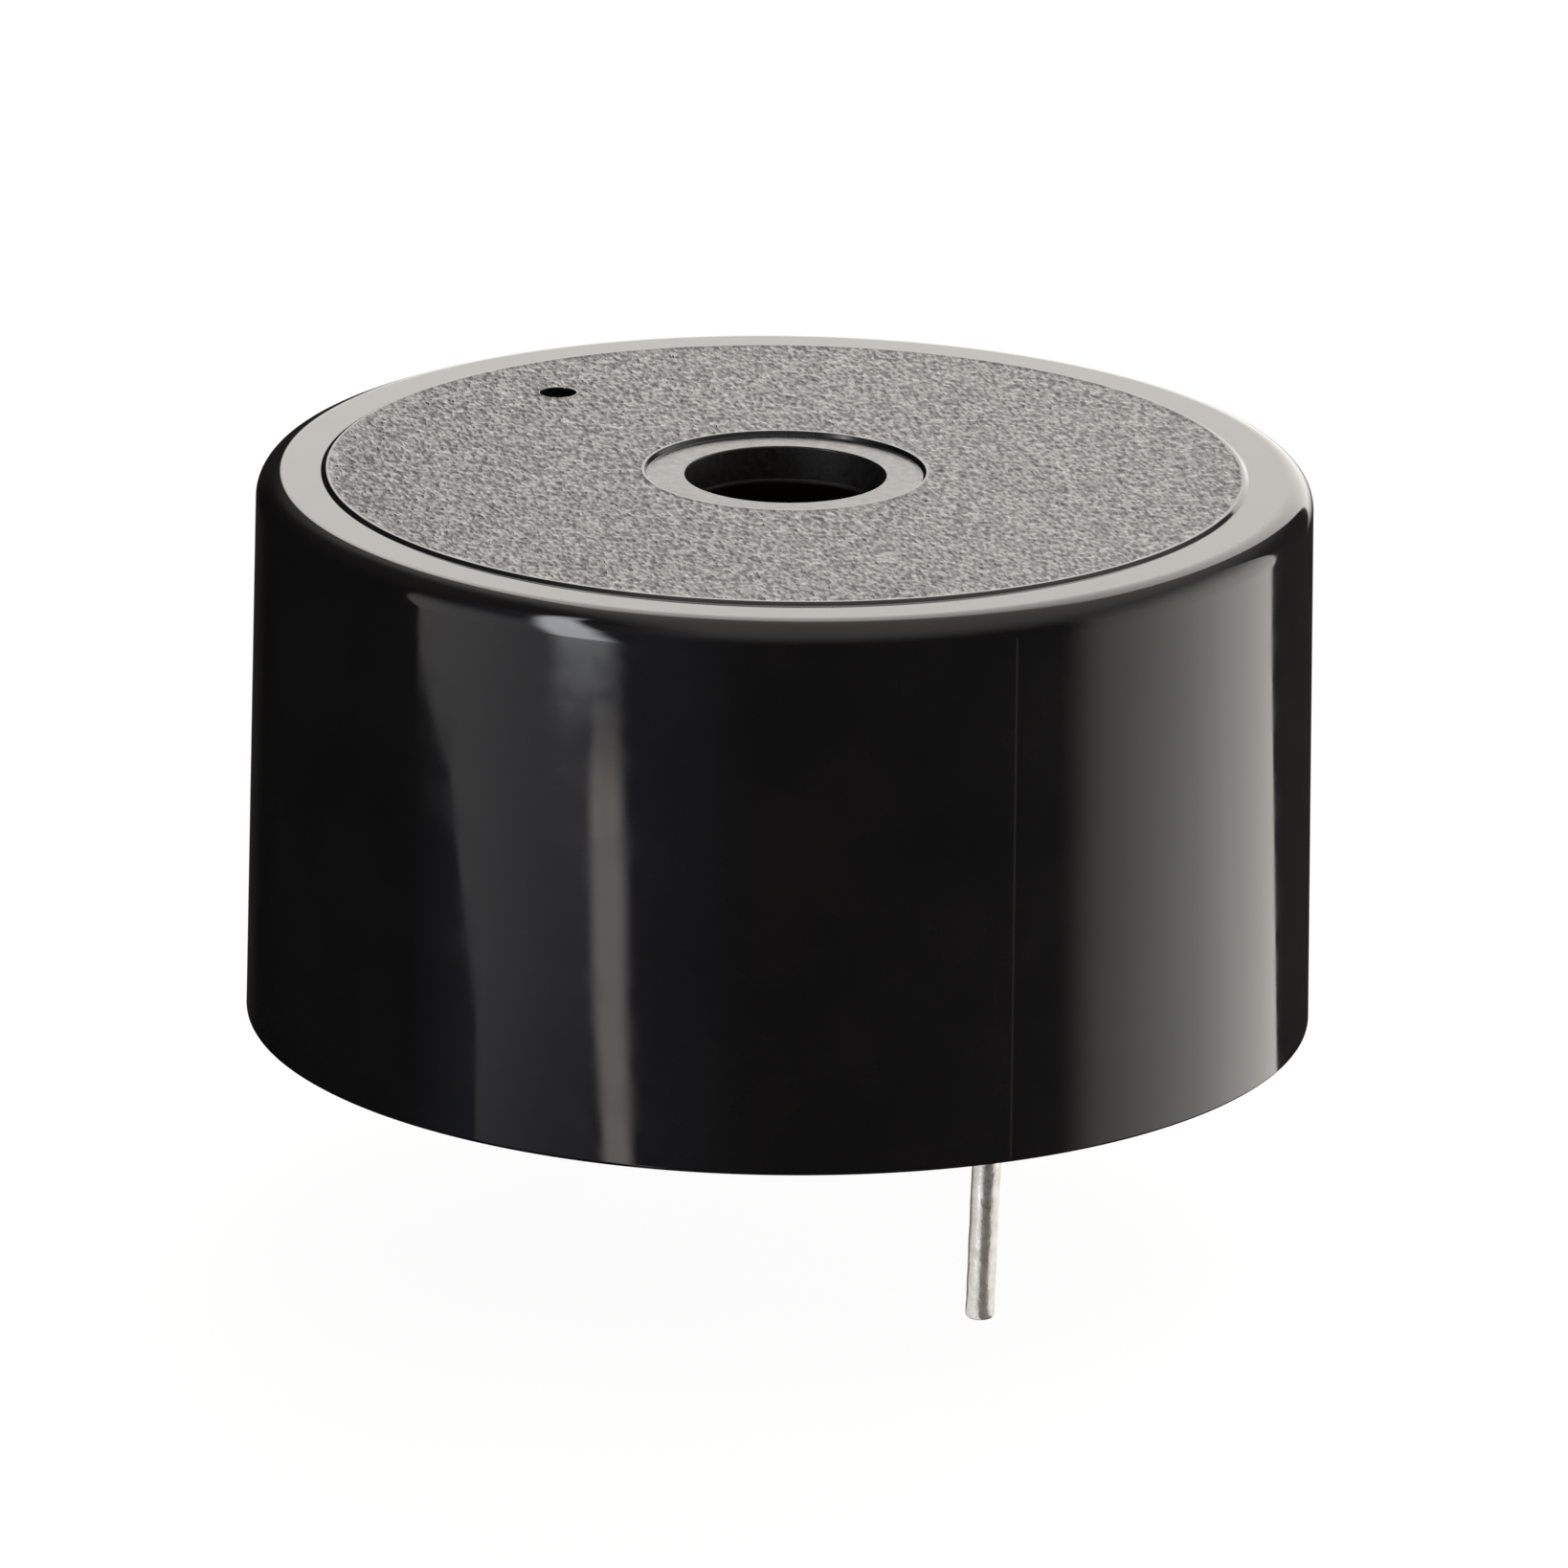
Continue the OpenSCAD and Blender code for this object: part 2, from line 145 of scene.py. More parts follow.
def new_tree(kind, name, inputs, outputs):
    """A node group with named sockets; gives the tree, its input sockets and its output sockets."""
    tree = bpy.data.node_groups.new(name, kind)
    for label, socket in outputs:
        tree.interface.new_socket(label, in_out="OUTPUT", socket_type=socket)
    for label, socket in inputs:
        tree.interface.new_socket(label, in_out="INPUT", socket_type=socket)
    return tree, tree.nodes.new("NodeGroupInput").outputs, tree.nodes.new("NodeGroupOutput").inputs


FLOAT = "NodeSocketFloat"
INT = "NodeSocketInt"
VECTOR = "NodeSocketVector"
COLOUR = "NodeSocketColor"
GEOMETRY = "NodeSocketGeometry"
MATERIAL = "NodeSocketMaterial"


# Shader groups shared by the finishes

NOISE_LOW = 0.3
NOISE_HIGH = 0.7
GLOSS_FINENESS = 2.7
SPECK_MATTING = 0.4
UPRIGHT = (0, 0, 1)


def mottle_group():
    """Uneven colour and gloss between two ends."""
    tree, given, out = new_tree(
        "ShaderNodeTree", "uneven_finish",
        [("Size", FLOAT), ("Dark", COLOUR), ("Light", COLOUR), ("Smooth", FLOAT), ("Rough", FLOAT)],
        [("Color", COLOUR), ("Roughness", FLOAT)])
    place = node(tree, "ShaderNodeTexCoord").outputs["Object"]
    scale = maths(tree, "DIVIDE", 1.0, given["Size"])
    cloud = noise(tree, place, scale, detail=4.0)
    patch = noise(tree, place, maths(tree, "MULTIPLY", scale, GLOSS_FINENESS), detail=3.0)
    share = ramp(tree, cloud, NOISE_LOW, NOISE_HIGH)
    gloss = ramp(tree, patch, NOISE_LOW, NOISE_HIGH, given["Smooth"], given["Rough"])
    put(tree, mix(tree, share, given["Dark"], given["Light"]), out["Color"])
    put(tree, gloss, out["Roughness"])
    return tree


def relief_group():
    """Height of a fine cast or drawn surface, stretched along a direction."""
    tree, given, out = new_tree(
        "ShaderNodeTree", "fine_relief",
        [("Size", FLOAT), ("Along", VECTOR), ("Stretch", FLOAT), ("Detail", FLOAT)],
        [("Height", FLOAT)])
    place = node(tree, "ShaderNodeTexCoord").outputs["Object"]
    reach = vector_maths(tree, "DOT_PRODUCT", {0: place, 1: given["Along"]}, "Value")
    drawn_in = maths(tree, "SUBTRACT", maths(tree, "DIVIDE", 1.0, given["Stretch"]), 1.0)
    far = maths(tree, "MULTIPLY", reach, drawn_in)
    shift = vector_maths(tree, "SCALE", {0: given["Along"], "Scale": far})
    stretched = vector_maths(tree, "ADD", {0: place, 1: shift})
    scale = maths(tree, "DIVIDE", 1.0, given["Size"])
    put(tree, noise(tree, stretched, scale, given["Detail"]), out["Height"])
    return tree


def speck_group():
    """Sparse round specks, 1 in a speck: dust or pinholes, and on the sound hole's wall painted glints."""
    tree, given, out = new_tree(
        "ShaderNodeTree", "specks",
        [("Spacing", FLOAT), ("Share", FLOAT), ("Radius", FLOAT)],
        [("Mask", FLOAT)])
    place = node(tree, "ShaderNodeTexCoord").outputs["Object"]
    scale = maths(tree, "DIVIDE", 1.0, given["Spacing"])
    cells = node(tree, "ShaderNodeTexVoronoi", {"Vector": place, "Scale": scale}).outputs
    lot = node(tree, "ShaderNodeSeparateColor", {0: cells["Color"]}).outputs[0]
    chosen = maths(tree, "LESS_THAN", lot, given["Share"])
    reach = maths(tree, "DIVIDE", given["Radius"], given["Spacing"])
    near = maths(tree, "SUBTRACT", 1.0, ramp(tree, cells["Distance"], 0.0, reach))
    put(tree, maths(tree, "MULTIPLY", chosen, near), out["Mask"])
    return tree


MOTTLE = mottle_group()
RELIEF = relief_group()
SPECKS = speck_group()


# Finishes: colours are linear, lengths are in millimetres

def grouped(tree, group, **values):
    """Outputs of a node group that is given these values."""
    made = tree.nodes.new("ShaderNodeGroup")
    made.node_tree = group
    for label, value in values.items():
        put(tree, value, made.inputs[label])
    return made.outputs


def linear(red, green, blue):
    return (red, green, blue, 1.0)


def finish(name, dark, light, gloss, patch, relief, depth, stretch=1.0, along=UPRIGHT, detail=2.0,
           worn=0.0, specks=None, **plain):
    """A Principled material: uneven colour from dark to light and uneven roughness over patches of a size,
    a fine relief of a size and a depth, and plain socket values.
    Where it is worn, the high spots of the relief are smoother and the low ones rougher by that much."""
    material = bpy.data.materials.new(name)
    material.use_nodes = True
    tree = material.node_tree
    shader = tree.nodes["Principled BSDF"]
    smooth, rough = gloss
    uneven = grouped(tree, MOTTLE, Size=patch * MM, Dark=linear(*dark), Light=linear(*light),
                     Smooth=smooth, Rough=rough)
    raised = grouped(tree, RELIEF, Size=relief * MM, Along=along, Stretch=stretch, Detail=detail)
    colour = uneven["Color"]
    roughness = uneven["Roughness"]
    if worn:
        wear = ramp(tree, raised["Height"], NOISE_LOW, NOISE_HIGH, worn, -worn, "LINEAR")
        roughness = maths(tree, "ADD", roughness, wear)
    # Specks mixed into the colour: dust or pinholes, and on the sound hole's wall painted glints
    if specks:
        mask = grouped(tree, SPECKS, Spacing=specks["spacing"] * MM, Share=specks["share"],
                       Radius=specks["radius"] * MM)["Mask"]
        colour = mix(tree, mask, colour, linear(*specks["tint"]))
        roughness = maths(tree, "ADD", roughness, maths(tree, "MULTIPLY", mask, SPECK_MATTING))
    relief_inputs = {"Strength": 1.0, "Distance": depth * MM, "Height": raised["Height"]}
    bump = node(tree, "ShaderNodeBump", relief_inputs)
    put(tree, colour, shader.inputs["Base Color"])
    put(tree, roughness, shader.inputs["Roughness"])
    put(tree, bump.outputs[0], shader.inputs["Normal"])
    for label, value in plain.items():
        shader.inputs[label.replace("_", " ")].default_value = value
    return material


GRAIN_TURN = math.radians(156)
GRAIN_RUN = (math.cos(GRAIN_TURN), math.sin(GRAIN_TURN), 0.0)

GLOSS_PLASTIC = finish(
    "gloss_black_plastic", dark=(0.0112, 0.0112, 0.0123), light=(0.0152, 0.0152, 0.0162),
    gloss=(0.045, 0.085), patch=2.6, relief=2.2, depth=0.004, stretch=2.5, detail=1.0,
    specks={"spacing": 1.9, "share": 0.06, "radius": 0.05, "tint": (0.09, 0.088, 0.085)})
GRAIN_PLASTIC = finish(
    "grained_black_plastic", dark=(0.006, 0.006, 0.0062), light=(0.014, 0.0137, 0.013),
    gloss=(0.32, 0.38), patch=0.5, relief=0.085, depth=0.023, stretch=2.8, along=GRAIN_RUN, detail=1.2,
    worn=0.18)
RING_PLASTIC = finish(
    "satin_black_plastic", dark=(0.01, 0.01, 0.0102), light=(0.015, 0.015, 0.015),
    gloss=(0.2, 0.28), patch=0.6, relief=0.5, depth=0.004)
# Sound hole's wall: its pale specks are painted glints, set in the colour where chips of the hole's edge
# would catch light
BORE_PLASTIC = finish(
    "matt_black_plastic", dark=(0.0095, 0.009, 0.0085), light=(0.016, 0.015, 0.014),
    gloss=(0.42, 0.6), patch=0.4, relief=0.12, depth=0.006, detail=3.0,
    specks={"spacing": 0.35, "share": 0.12, "radius": 0.03, "tint": (0.3, 0.29, 0.27)})
TINNED_PIN = finish(
    "tinned_pin", dark=(0.66, 0.635, 0.605), light=(0.82, 0.805, 0.785),
    gloss=(0.24, 0.36), patch=0.35, relief=0.13, depth=0.012, stretch=1.6, Metallic=1.0)
EPOXY = finish(
    "black_epoxy", dark=(0.006, 0.006, 0.0065), light=(0.012, 0.0118, 0.0115),
    gloss=(0.12, 0.3), patch=1.8, relief=0.5, depth=0.006, detail=3.0,
    specks={"spacing": 0.9, "share": 0.12, "radius": 0.06, "tint": (0.03, 0.03, 0.03)})
BRASS = finish(
    "rolled_brass", dark=(0.44, 0.27, 0.085), light=(0.62, 0.42, 0.15),
    gloss=(0.3, 0.42), patch=1.4, relief=0.12, depth=0.0008, Metallic=1.0)
CERAMIC = finish(
    "fired_ceramic", dark=(0.55, 0.5, 0.38), light=(0.68, 0.63, 0.5),
    gloss=(0.5, 0.7), patch=0.6, relief=0.04, depth=0.004)
SILVER = finish(
    "fired_silver", dark=(0.55, 0.54, 0.52), light=(0.72, 0.71, 0.69),
    gloss=(0.36, 0.55), patch=0.7, relief=0.09, depth=0.006, Metallic=1.0)
SILICONE = finish(
    "silicone_bead", dark=(0.5, 0.5, 0.48), light=(0.66, 0.66, 0.63),
    gloss=(0.25, 0.45), patch=0.9, relief=0.35, depth=0.01,
    Subsurface_Weight=0.2, Subsurface_Radius=(0.0006, 0.0005, 0.0004))
LAMINATE = finish(
    "glass_laminate", dark=(0.035, 0.11, 0.03), light=(0.07, 0.19, 0.05),
    gloss=(0.3, 0.5), patch=0.45, relief=0.14, depth=0.006)
COPPER = finish(
    "track_copper", dark=(0.5, 0.2, 0.09), light=(0.7, 0.34, 0.17),
    gloss=(0.24, 0.42), patch=0.6, relief=0.08, depth=0.002, Metallic=1.0)
CHIP_MOULDING = finish(
    "chip_moulding", dark=(0.008, 0.008, 0.008), light=(0.018, 0.018, 0.018),
    gloss=(0.45, 0.62), patch=0.25, relief=0.04, depth=0.005)
CHIP_GLAZE = finish(
    "chip_glaze", dark=(0.006, 0.006, 0.009), light=(0.014, 0.014, 0.02),
    gloss=(0.18, 0.34), patch=0.4, relief=0.2, depth=0.004)
TINNED_LEG = finish(
    "tinned_leg", dark=(0.58, 0.57, 0.55), light=(0.74, 0.73, 0.71),
    gloss=(0.26, 0.44), patch=0.25, relief=0.05, depth=0.003, Metallic=1.0)
SOLDER = finish(
    "solder", dark=(0.5, 0.5, 0.49), light=(0.72, 0.715, 0.7),
    gloss=(0.16, 0.38), patch=0.3, relief=0.12, depth=0.006, Metallic=1.0)


def insulation(name, dark, light):
    return finish(name, dark, light, gloss=(0.34, 0.5), patch=0.4, relief=0.08, depth=0.004)


BLACK_WIRE = insulation("black_insulation", dark=(0.008, 0.008, 0.008), light=(0.02, 0.02, 0.02))
RED_WIRE = insulation("red_insulation", dark=(0.28, 0.01, 0.008), light=(0.42, 0.025, 0.018))
BLUE_WIRE = insulation("blue_insulation", dark=(0.012, 0.03, 0.2), light=(0.025, 0.055, 0.32))

CAD_FINISHES = {
    "diaphragm_plate": BRASS,
    "piezo_ceramic": CERAMIC,
    "main_electrode": SILVER,
    "feedback_electrode": SILVER,
    "diaphragm_sealant": SILICONE,
    "circuit_board": LAMINATE,
    "copper_tracks": COPPER,
    "transistor": CHIP_MOULDING,
    "transistor_leads": TINNED_LEG,
    "collector_resistor": CHIP_GLAZE,
    "base_resistor": CHIP_GLAZE,
    "feedback_resistor": CHIP_GLAZE,
    "resistor_end_caps": TINNED_LEG,
    "pin_solder_joints": SOLDER,
    "element_solder_dots": SOLDER,
    "board_lead_joints": SOLDER,
}
for name, material in CAD_FINISHES.items():
    slots = nodes_of_part[name].material_slots
    if not slots:
        nodes_of_part[name].data.materials.append(material)
    for slot in slots:
        slot.material = material


# Geometry trees

RELIEF_LOW = 0.25
RELIEF_HIGH = 0.75
RELIEF_DISTORTION = 0.7
RELIEF_LEAST = 0.01


def sampled(tree, geometry, value, index, kind):
    """Value of one point of a geometry."""
    inputs = {"Geometry": geometry, "Value": value, "Index": index}
    return node(tree, "GeometryNodeSampleIndex", inputs, data_type=kind).outputs[0]


def point_value(tree, label):
    return node(tree, "GeometryNodeInputNamedAttribute", {"Name": label}, data_type="FLOAT").outputs[0]


def end_tree(tree, body, out, **finished):
    """Ends a geometry tree with real faces that have a finish."""
    body = node(tree, "GeometryNodeRealizeInstances", {0: body}).outputs[0]
    body = node(tree, "GeometryNodeSetMaterial", {"Geometry": body, **finished}).outputs[0]
    put(tree, body, out["Geometry"])


def turned_tree():
    """Turns the points of a section (x = radius, z = height) about an upright axis.
    A narrow band of extra columns carries a weld line, sunk where the section's weld value says so."""
    tree, given, out = new_tree(
        "GeometryNodeTree", "turned_body",
        [("Geometry", GEOMETRY), ("Segments", INT), ("Centre", VECTOR), ("Weld angle", FLOAT),
         ("Weld width", FLOAT), ("Weld columns", INT), ("Weld depth", FLOAT), ("Material", MATERIAL)],
        [("Geometry", GEOMETRY)])
    section = given["Geometry"]
    width = given["Weld width"]
    band = given["Weld columns"]
    rows = node(tree, "GeometryNodeAttributeDomainSize", {0: section}).outputs["Point Count"]
    columns = maths(tree, "ADD", given["Segments"], 1.0)
    grid = node(tree, "GeometryNodeMeshGrid", {"Vertices X": columns, "Vertices Y": rows}).outputs["Mesh"]
    index = node(tree, "GeometryNodeInputIndex").outputs[0]
    column = maths(tree, "FLOOR", maths(tree, "DIVIDE", index, rows))
    row = maths(tree, "SUBTRACT", index, maths(tree, "MULTIPLY", column, rows))
    position = node(tree, "GeometryNodeInputPosition").outputs[0]
    point = sampled(tree, section, position, row, "FLOAT_VECTOR")
    sunk = sampled(tree, section, point_value(tree, "weld"), row, "FLOAT")

    half = maths(tree, "MULTIPLY", width, 0.5)
    in_band = maths(tree, "DIVIDE", column, band)
    band_angle = maths(tree, "SUBTRACT", maths(tree, "MULTIPLY", in_band, width), half)
    open_turn = maths(tree, "SUBTRACT", TURN, width)
    step = maths(tree, "DIVIDE", open_turn, maths(tree, "SUBTRACT", given["Segments"], band))
    onwards = maths(tree, "MULTIPLY", maths(tree, "SUBTRACT", column, band), step)
    past = maths(tree, "GREATER_THAN", column, band)
    outside = maths(tree, "MULTIPLY", past, maths(tree, "ADD", half, onwards))
    inside = maths(tree, "MULTIPLY", maths(tree, "SUBTRACT", 1.0, past), band_angle)
    angle = maths(tree, "ADD", given["Weld angle"], maths(tree, "ADD", outside, inside))

    bell = maths(tree, "SINE", maths(tree, "MULTIPLY", maths(tree, "MINIMUM", in_band, 1.0), math.pi))
    deepest = maths(tree, "MULTIPLY", sunk, given["Weld depth"])
    groove = maths(tree, "MULTIPLY", maths(tree, "MULTIPLY", bell, bell), deepest)
    axes = node(tree, "ShaderNodeSeparateXYZ", {0: point}).outputs
    radius = maths(tree, "SUBTRACT", axes[0], groove)
    x = maths(tree, "MULTIPLY", radius, maths(tree, "COSINE", angle))
    y = maths(tree, "MULTIPLY", radius, maths(tree, "SINE", angle))
    turned = node(tree, "ShaderNodeCombineXYZ", {0: x, 1: y, 2: axes[2]}).outputs[0]
    placed = vector_maths(tree, "ADD", {0: turned, 1: given["Centre"]})
    body = node(tree, "GeometryNodeSetPosition", {"Geometry": grid, "Position": placed}).outputs[0]
    body = node(tree, "GeometryNodeMergeByDistance", {"Geometry": body, "Distance": MERGE}).outputs[0]
    body = node(tree, "GeometryNodeSetShadeSmooth", {0: body}).outputs[0]
    end_tree(tree, body, out, Material=given["Material"])
    return tree


def sunk_relief_tree():
    """Sinks points into the surface by a noise, in the measure of their relief value.
    The faces that have such a value get a finish."""
    tree, given, out = new_tree(
        "GeometryNodeTree", "sunk_relief",
        [("Geometry", GEOMETRY), ("Size", FLOAT), ("Depth", FLOAT), ("Detail", FLOAT), ("Seed", FLOAT),
         ("Material", MATERIAL)],
        [("Geometry", GEOMETRY)])
    position = node(tree, "GeometryNodeInputPosition").outputs[0]
    normal = node(tree, "GeometryNodeInputNormal").outputs[0]
    share = point_value(tree, "relief")
    scale = maths(tree, "DIVIDE", 1.0, given["Size"])
    inputs = {"Vector": position, "W": given["Seed"], "Scale": scale, "Detail": given["Detail"],
              "Distortion": RELIEF_DISTORTION}
    cloud = node(tree, "ShaderNodeTexNoise", inputs, noise_dimensions="4D").outputs[0]
    height = ramp(tree, cloud, RELIEF_LOW, RELIEF_HIGH, kind="LINEAR")
    deepest = maths(tree, "MULTIPLY", share, given["Depth"])
    drop = maths(tree, "MULTIPLY", maths(tree, "SUBTRACT", height, 1.0), deepest)
    offset = vector_maths(tree, "SCALE", {0: normal, "Scale": drop})
    moved = {"Geometry": given["Geometry"], "Offset": offset}
    body = node(tree, "GeometryNodeSetPosition", moved).outputs[0]
    chosen = maths(tree, "GREATER_THAN", share, RELIEF_LEAST)
    end_tree(tree, body, out, Selection=chosen, Material=given["Material"])
    return tree


def wire_tree():
    """Sweeps a round wire along a line of points, with closed ends."""
    tree, given, out = new_tree(
        "GeometryNodeTree", "insulated_wire",
        [("Geometry", GEOMETRY), ("Radius", FLOAT), ("Sides", INT), ("Material", MATERIAL)],
        [("Geometry", GEOMETRY)])
    path = node(tree, "GeometryNodeMeshToCurve", {0: given["Geometry"]}).outputs[0]
    circle = {"Resolution": given["Sides"], "Radius": given["Radius"]}
    section = node(tree, "GeometryNodeCurvePrimitiveCircle", circle).outputs[0]
    swept = {"Curve": path, "Profile Curve": section, "Fill Caps": True}
    body = node(tree, "GeometryNodeCurveToMesh", swept).outputs[0]
    body = node(tree, "GeometryNodeSetShadeSmooth", {0: body}).outputs[0]
    end_tree(tree, body, out, Material=given["Material"])
    return tree


TURNED = turned_tree()
SUNK_RELIEF = sunk_relief_tree()
WIRE = wire_tree()


# Pieces

def run_tree(piece, tree, values):
    """Runs a geometry tree on a piece and keeps its plain mesh."""
    sockets = {s.name: s.identifier for s in tree.interface.items_tree if s.in_out == "INPUT"}
    step = piece.modifiers.new(tree.name, "NODES")
    step.node_group = tree
    for label, value in values.items():
        step[sockets[label]] = value
    graph = bpy.context.evaluated_depsgraph_get()
    made = piece.evaluated_get(graph)
    mesh = bpy.data.meshes.new_from_object(made, preserve_all_data_layers=True, depsgraph=graph)
    piece.modifiers.remove(step)
    spent = piece.data
    piece.data = mesh
    bpy.data.meshes.remove(spent)
    mesh.name = piece.name


def set_point_values(mesh, label, numbers):
    values = mesh.attributes.new(label, "FLOAT", "POINT")
    values.data.foreach_set("value", np.asarray(numbers, np.float32))


def vectors_of(items, label):
    """One vector of each vertex or face of a mesh, as rows."""
    numbers = np.zeros(len(items) * 3)
    items.foreach_get(label, numbers)
    return numbers.reshape(-1, 3)


def new_piece(name, points, faces, edges=(), **values):
    """A mesh object from points in millimetres, with named values on its points."""
    mesh = bpy.data.meshes.new(name)
    mesh.from_pydata((np.asarray(points, float) * MM).tolist(), list(edges), list(faces))
    for label, numbers in values.items():
        set_point_values(mesh, label, numbers)
    piece = bpy.data.objects.new(name, mesh)
    scene.collection.objects.link(piece)
    return piece


def line_piece(name, points, **values):
    """A line of points, for a geometry tree to turn or sweep."""
    edges = [(i, i + 1) for i in range(len(points) - 1)]
    return new_piece(name, points, [], edges, **values)


def section_piece(name, section, **values):
    return line_piece(name, [(x, 0.0, z) for x, z in section], **values)


def close_up(piece):
    """Merges doubles, turns the faces outwards and shades them smooth."""
    work = bmesh.new()
    work.from_mesh(piece.data)
    bmesh.ops.remove_doubles(work, verts=work.verts, dist=MERGE)
    bmesh.ops.recalc_face_normals(work, faces=work.faces)
    for face in work.faces:
        face.smooth = True
    work.to_mesh(piece.data)
    work.free()


# Sections

SUPPORT = 0.015


def unit(vector):
    return vector / np.linalg.norm(vector)


def rounded_section(corners):
    """Points of a section. A corner is (radius, height), with a round and its steps where it has one.
    A point stands a little before and after each corner, so that flat stretches shade flat."""
    points = []
    for i, (x, z, *rounding) in enumerate(corners):
        here = np.array((x, z))
        if i in (0, len(corners) - 1):
            points.append(here)
            continue
        before = unit(np.array(corners[i - 1][:2]) - here)
        after = unit(np.array(corners[i + 1][:2]) - here)
        if not rounding:
            points += [here + SUPPORT * before, here, here + SUPPORT * after]
            continue
        size, steps = rounding
        half = math.acos(max(-1.0, min(1.0, float(before @ after)))) / 2
        reach = size / math.tan(half)
        centre = here + unit(before + after) * size / math.sin(half)
        start = here + reach * before - centre
        end = here + reach * after - centre
        swing = math.pi - 2 * half
        points.append(here + (reach + SUPPORT) * before)
        for k in range(steps + 1):
            of_start = math.sin(swing * (1 - k / steps))
            of_end = math.sin(swing * k / steps)
            points.append(centre + (of_start * start + of_end * end) / math.sin(swing))
        points.append(here + (reach + SUPPORT) * after)
    return points


# Skins of points laid in rings, joined ring to ring

LEAST_POINTS = 6
SCATTER_ALONG = 0.28
SCATTER_ACROSS = 0.22


class Skin:
    def __init__(self):
        self.points = []
        self.faces = []

    def ring(self, centre, radius, height, angles):
        """Points on a circle; gives (angle, number) pairs. The radius may vary from point to point."""
        first = len(self.points)
        angles = np.sort(np.asarray(angles, float) % TURN)
        radii = np.broadcast_to(radius, angles.shape)
        xs = centre[0] + radii * np.cos(angles)
        ys = centre[1] + radii * np.sin(angles)
        self.points += [(x, y, height) for x, y in zip(xs.tolist(), ys.tolist())]
        return [(a, first + i) for i, a in enumerate(angles.tolist())]

    def join(self, inner, outer):
        """Triangles between two closed rings."""
        a = [*inner, (inner[0][0] + TURN, inner[0][1])]
        b = [*outer, (outer[0][0] + TURN, outer[0][1])]
        i = j = 0
        while i < len(a) - 1 or j < len(b) - 1:
            step_inner = j == len(b) - 1 or (
                i < len(a) - 1 and a[i][0] + a[i + 1][0] <= b[j][0] + b[j + 1][0])
            if step_inner:
                self.faces.append((a[i][1], b[j][1], a[i + 1][1]))
                i += 1
            else:
                self.faces.append((a[i][1], b[j][1], b[j + 1][1]))
                j += 1

    def fan(self, ring, height):
        """Closes a ring with a point at its middle."""
        corners = np.array([self.points[k] for _, k in ring])
        self.points.append((corners[:, 0].mean(), corners[:, 1].mean(), height))
        for (_, a), (_, b) in zip(ring, ring[1:] + ring[:1]):
            self.faces.append((len(self.points) - 1, a, b))

    def field(self, outer, radii, step, height, rng):
        """Rings of loosely scattered points from an outer ring inwards; gives the last ring."""
        for radius in radii:
            count = max(LEAST_POINTS, round(TURN * radius / step))
            places = np.arange(count) + rng.uniform(-SCATTER_ALONG, SCATTER_ALONG, count) + rng.uniform()
            reach = radius + step * rng.uniform(-SCATTER_ACROSS, SCATTER_ACROSS, count)
            ring = self.ring(AXIS, reach, height, places * TURN / count)
            self.join(ring, outer)
            outer = ring
        return outer

    def hole(self, centre, radius, edge, first_face=0):
        """Clears the faces within a radius of a centre and joins what is left to a ring round it."""
        flat = np.array(self.points)[:, :2]
        inside = np.hypot(flat[:, 0] - centre[0], flat[:, 1] - centre[1]) < radius
        faces = np.array(self.faces)
        cut = inside[faces].any(axis=1)
        cut[:first_face] = False
        rim = sorted({int(k) for k in faces[cut].ravel() if not inside[k]})
        self.faces = [tuple(f) for f in faces[~cut].tolist()]
        bearings = [math.atan2(flat[k][1] - centre[1], flat[k][0] - centre[0]) % TURN for k in rim]
        self.join(edge, sorted(zip(bearings, rim)))

    def tidy(self):
        """Drops points that no face uses, and gives the numbers of those that stay."""
        used = sorted({k for f in self.faces for k in f})
        number = {k: i for i, k in enumerate(used)}
        self.points = [self.points[k] for k in used]
        self.faces = [tuple(number[k] for k in f) for f in self.faces]
        return used


def circle_angles(count):
    return np.arange(count) * TURN / count


RANDOM_SEED = 7
rng = np.random.default_rng(RANDOM_SEED)


# Housing: turned cup, then the grained pad between its two slopes, with the polarity dot

HOUSING_SEGMENTS = 288
PAD_ROUND = 0.03
RING_ROUND = 0.025
HOLE_ROUND = 0.04
FOOT_ROUND = 0.06
MOUTH_ROUND = 0.05
pad_outer = PAD_R - 2 * PAD_ROUND
pad_inner = RING_TOP_R + 2 * PAD_ROUND

# Moulding lip at the lower end of the sound hole
LIP = 0.055
LIP_ROUND = 0.015
LIP_FOOT = 0.04
LIP_NECK = 0.02
LIP_RISE = 0.01
LIP_END = 0.02

# Weld line down the wall
WELD_COLUMNS = 6
WELD_ANGLE = math.radians(-12.5)
WELD_WIDTH = 0.24 / HOUSING_R
WELD_DEPTH = 0.014
WELD_RISE = 0.1
WALL_FROM_R = 11.2


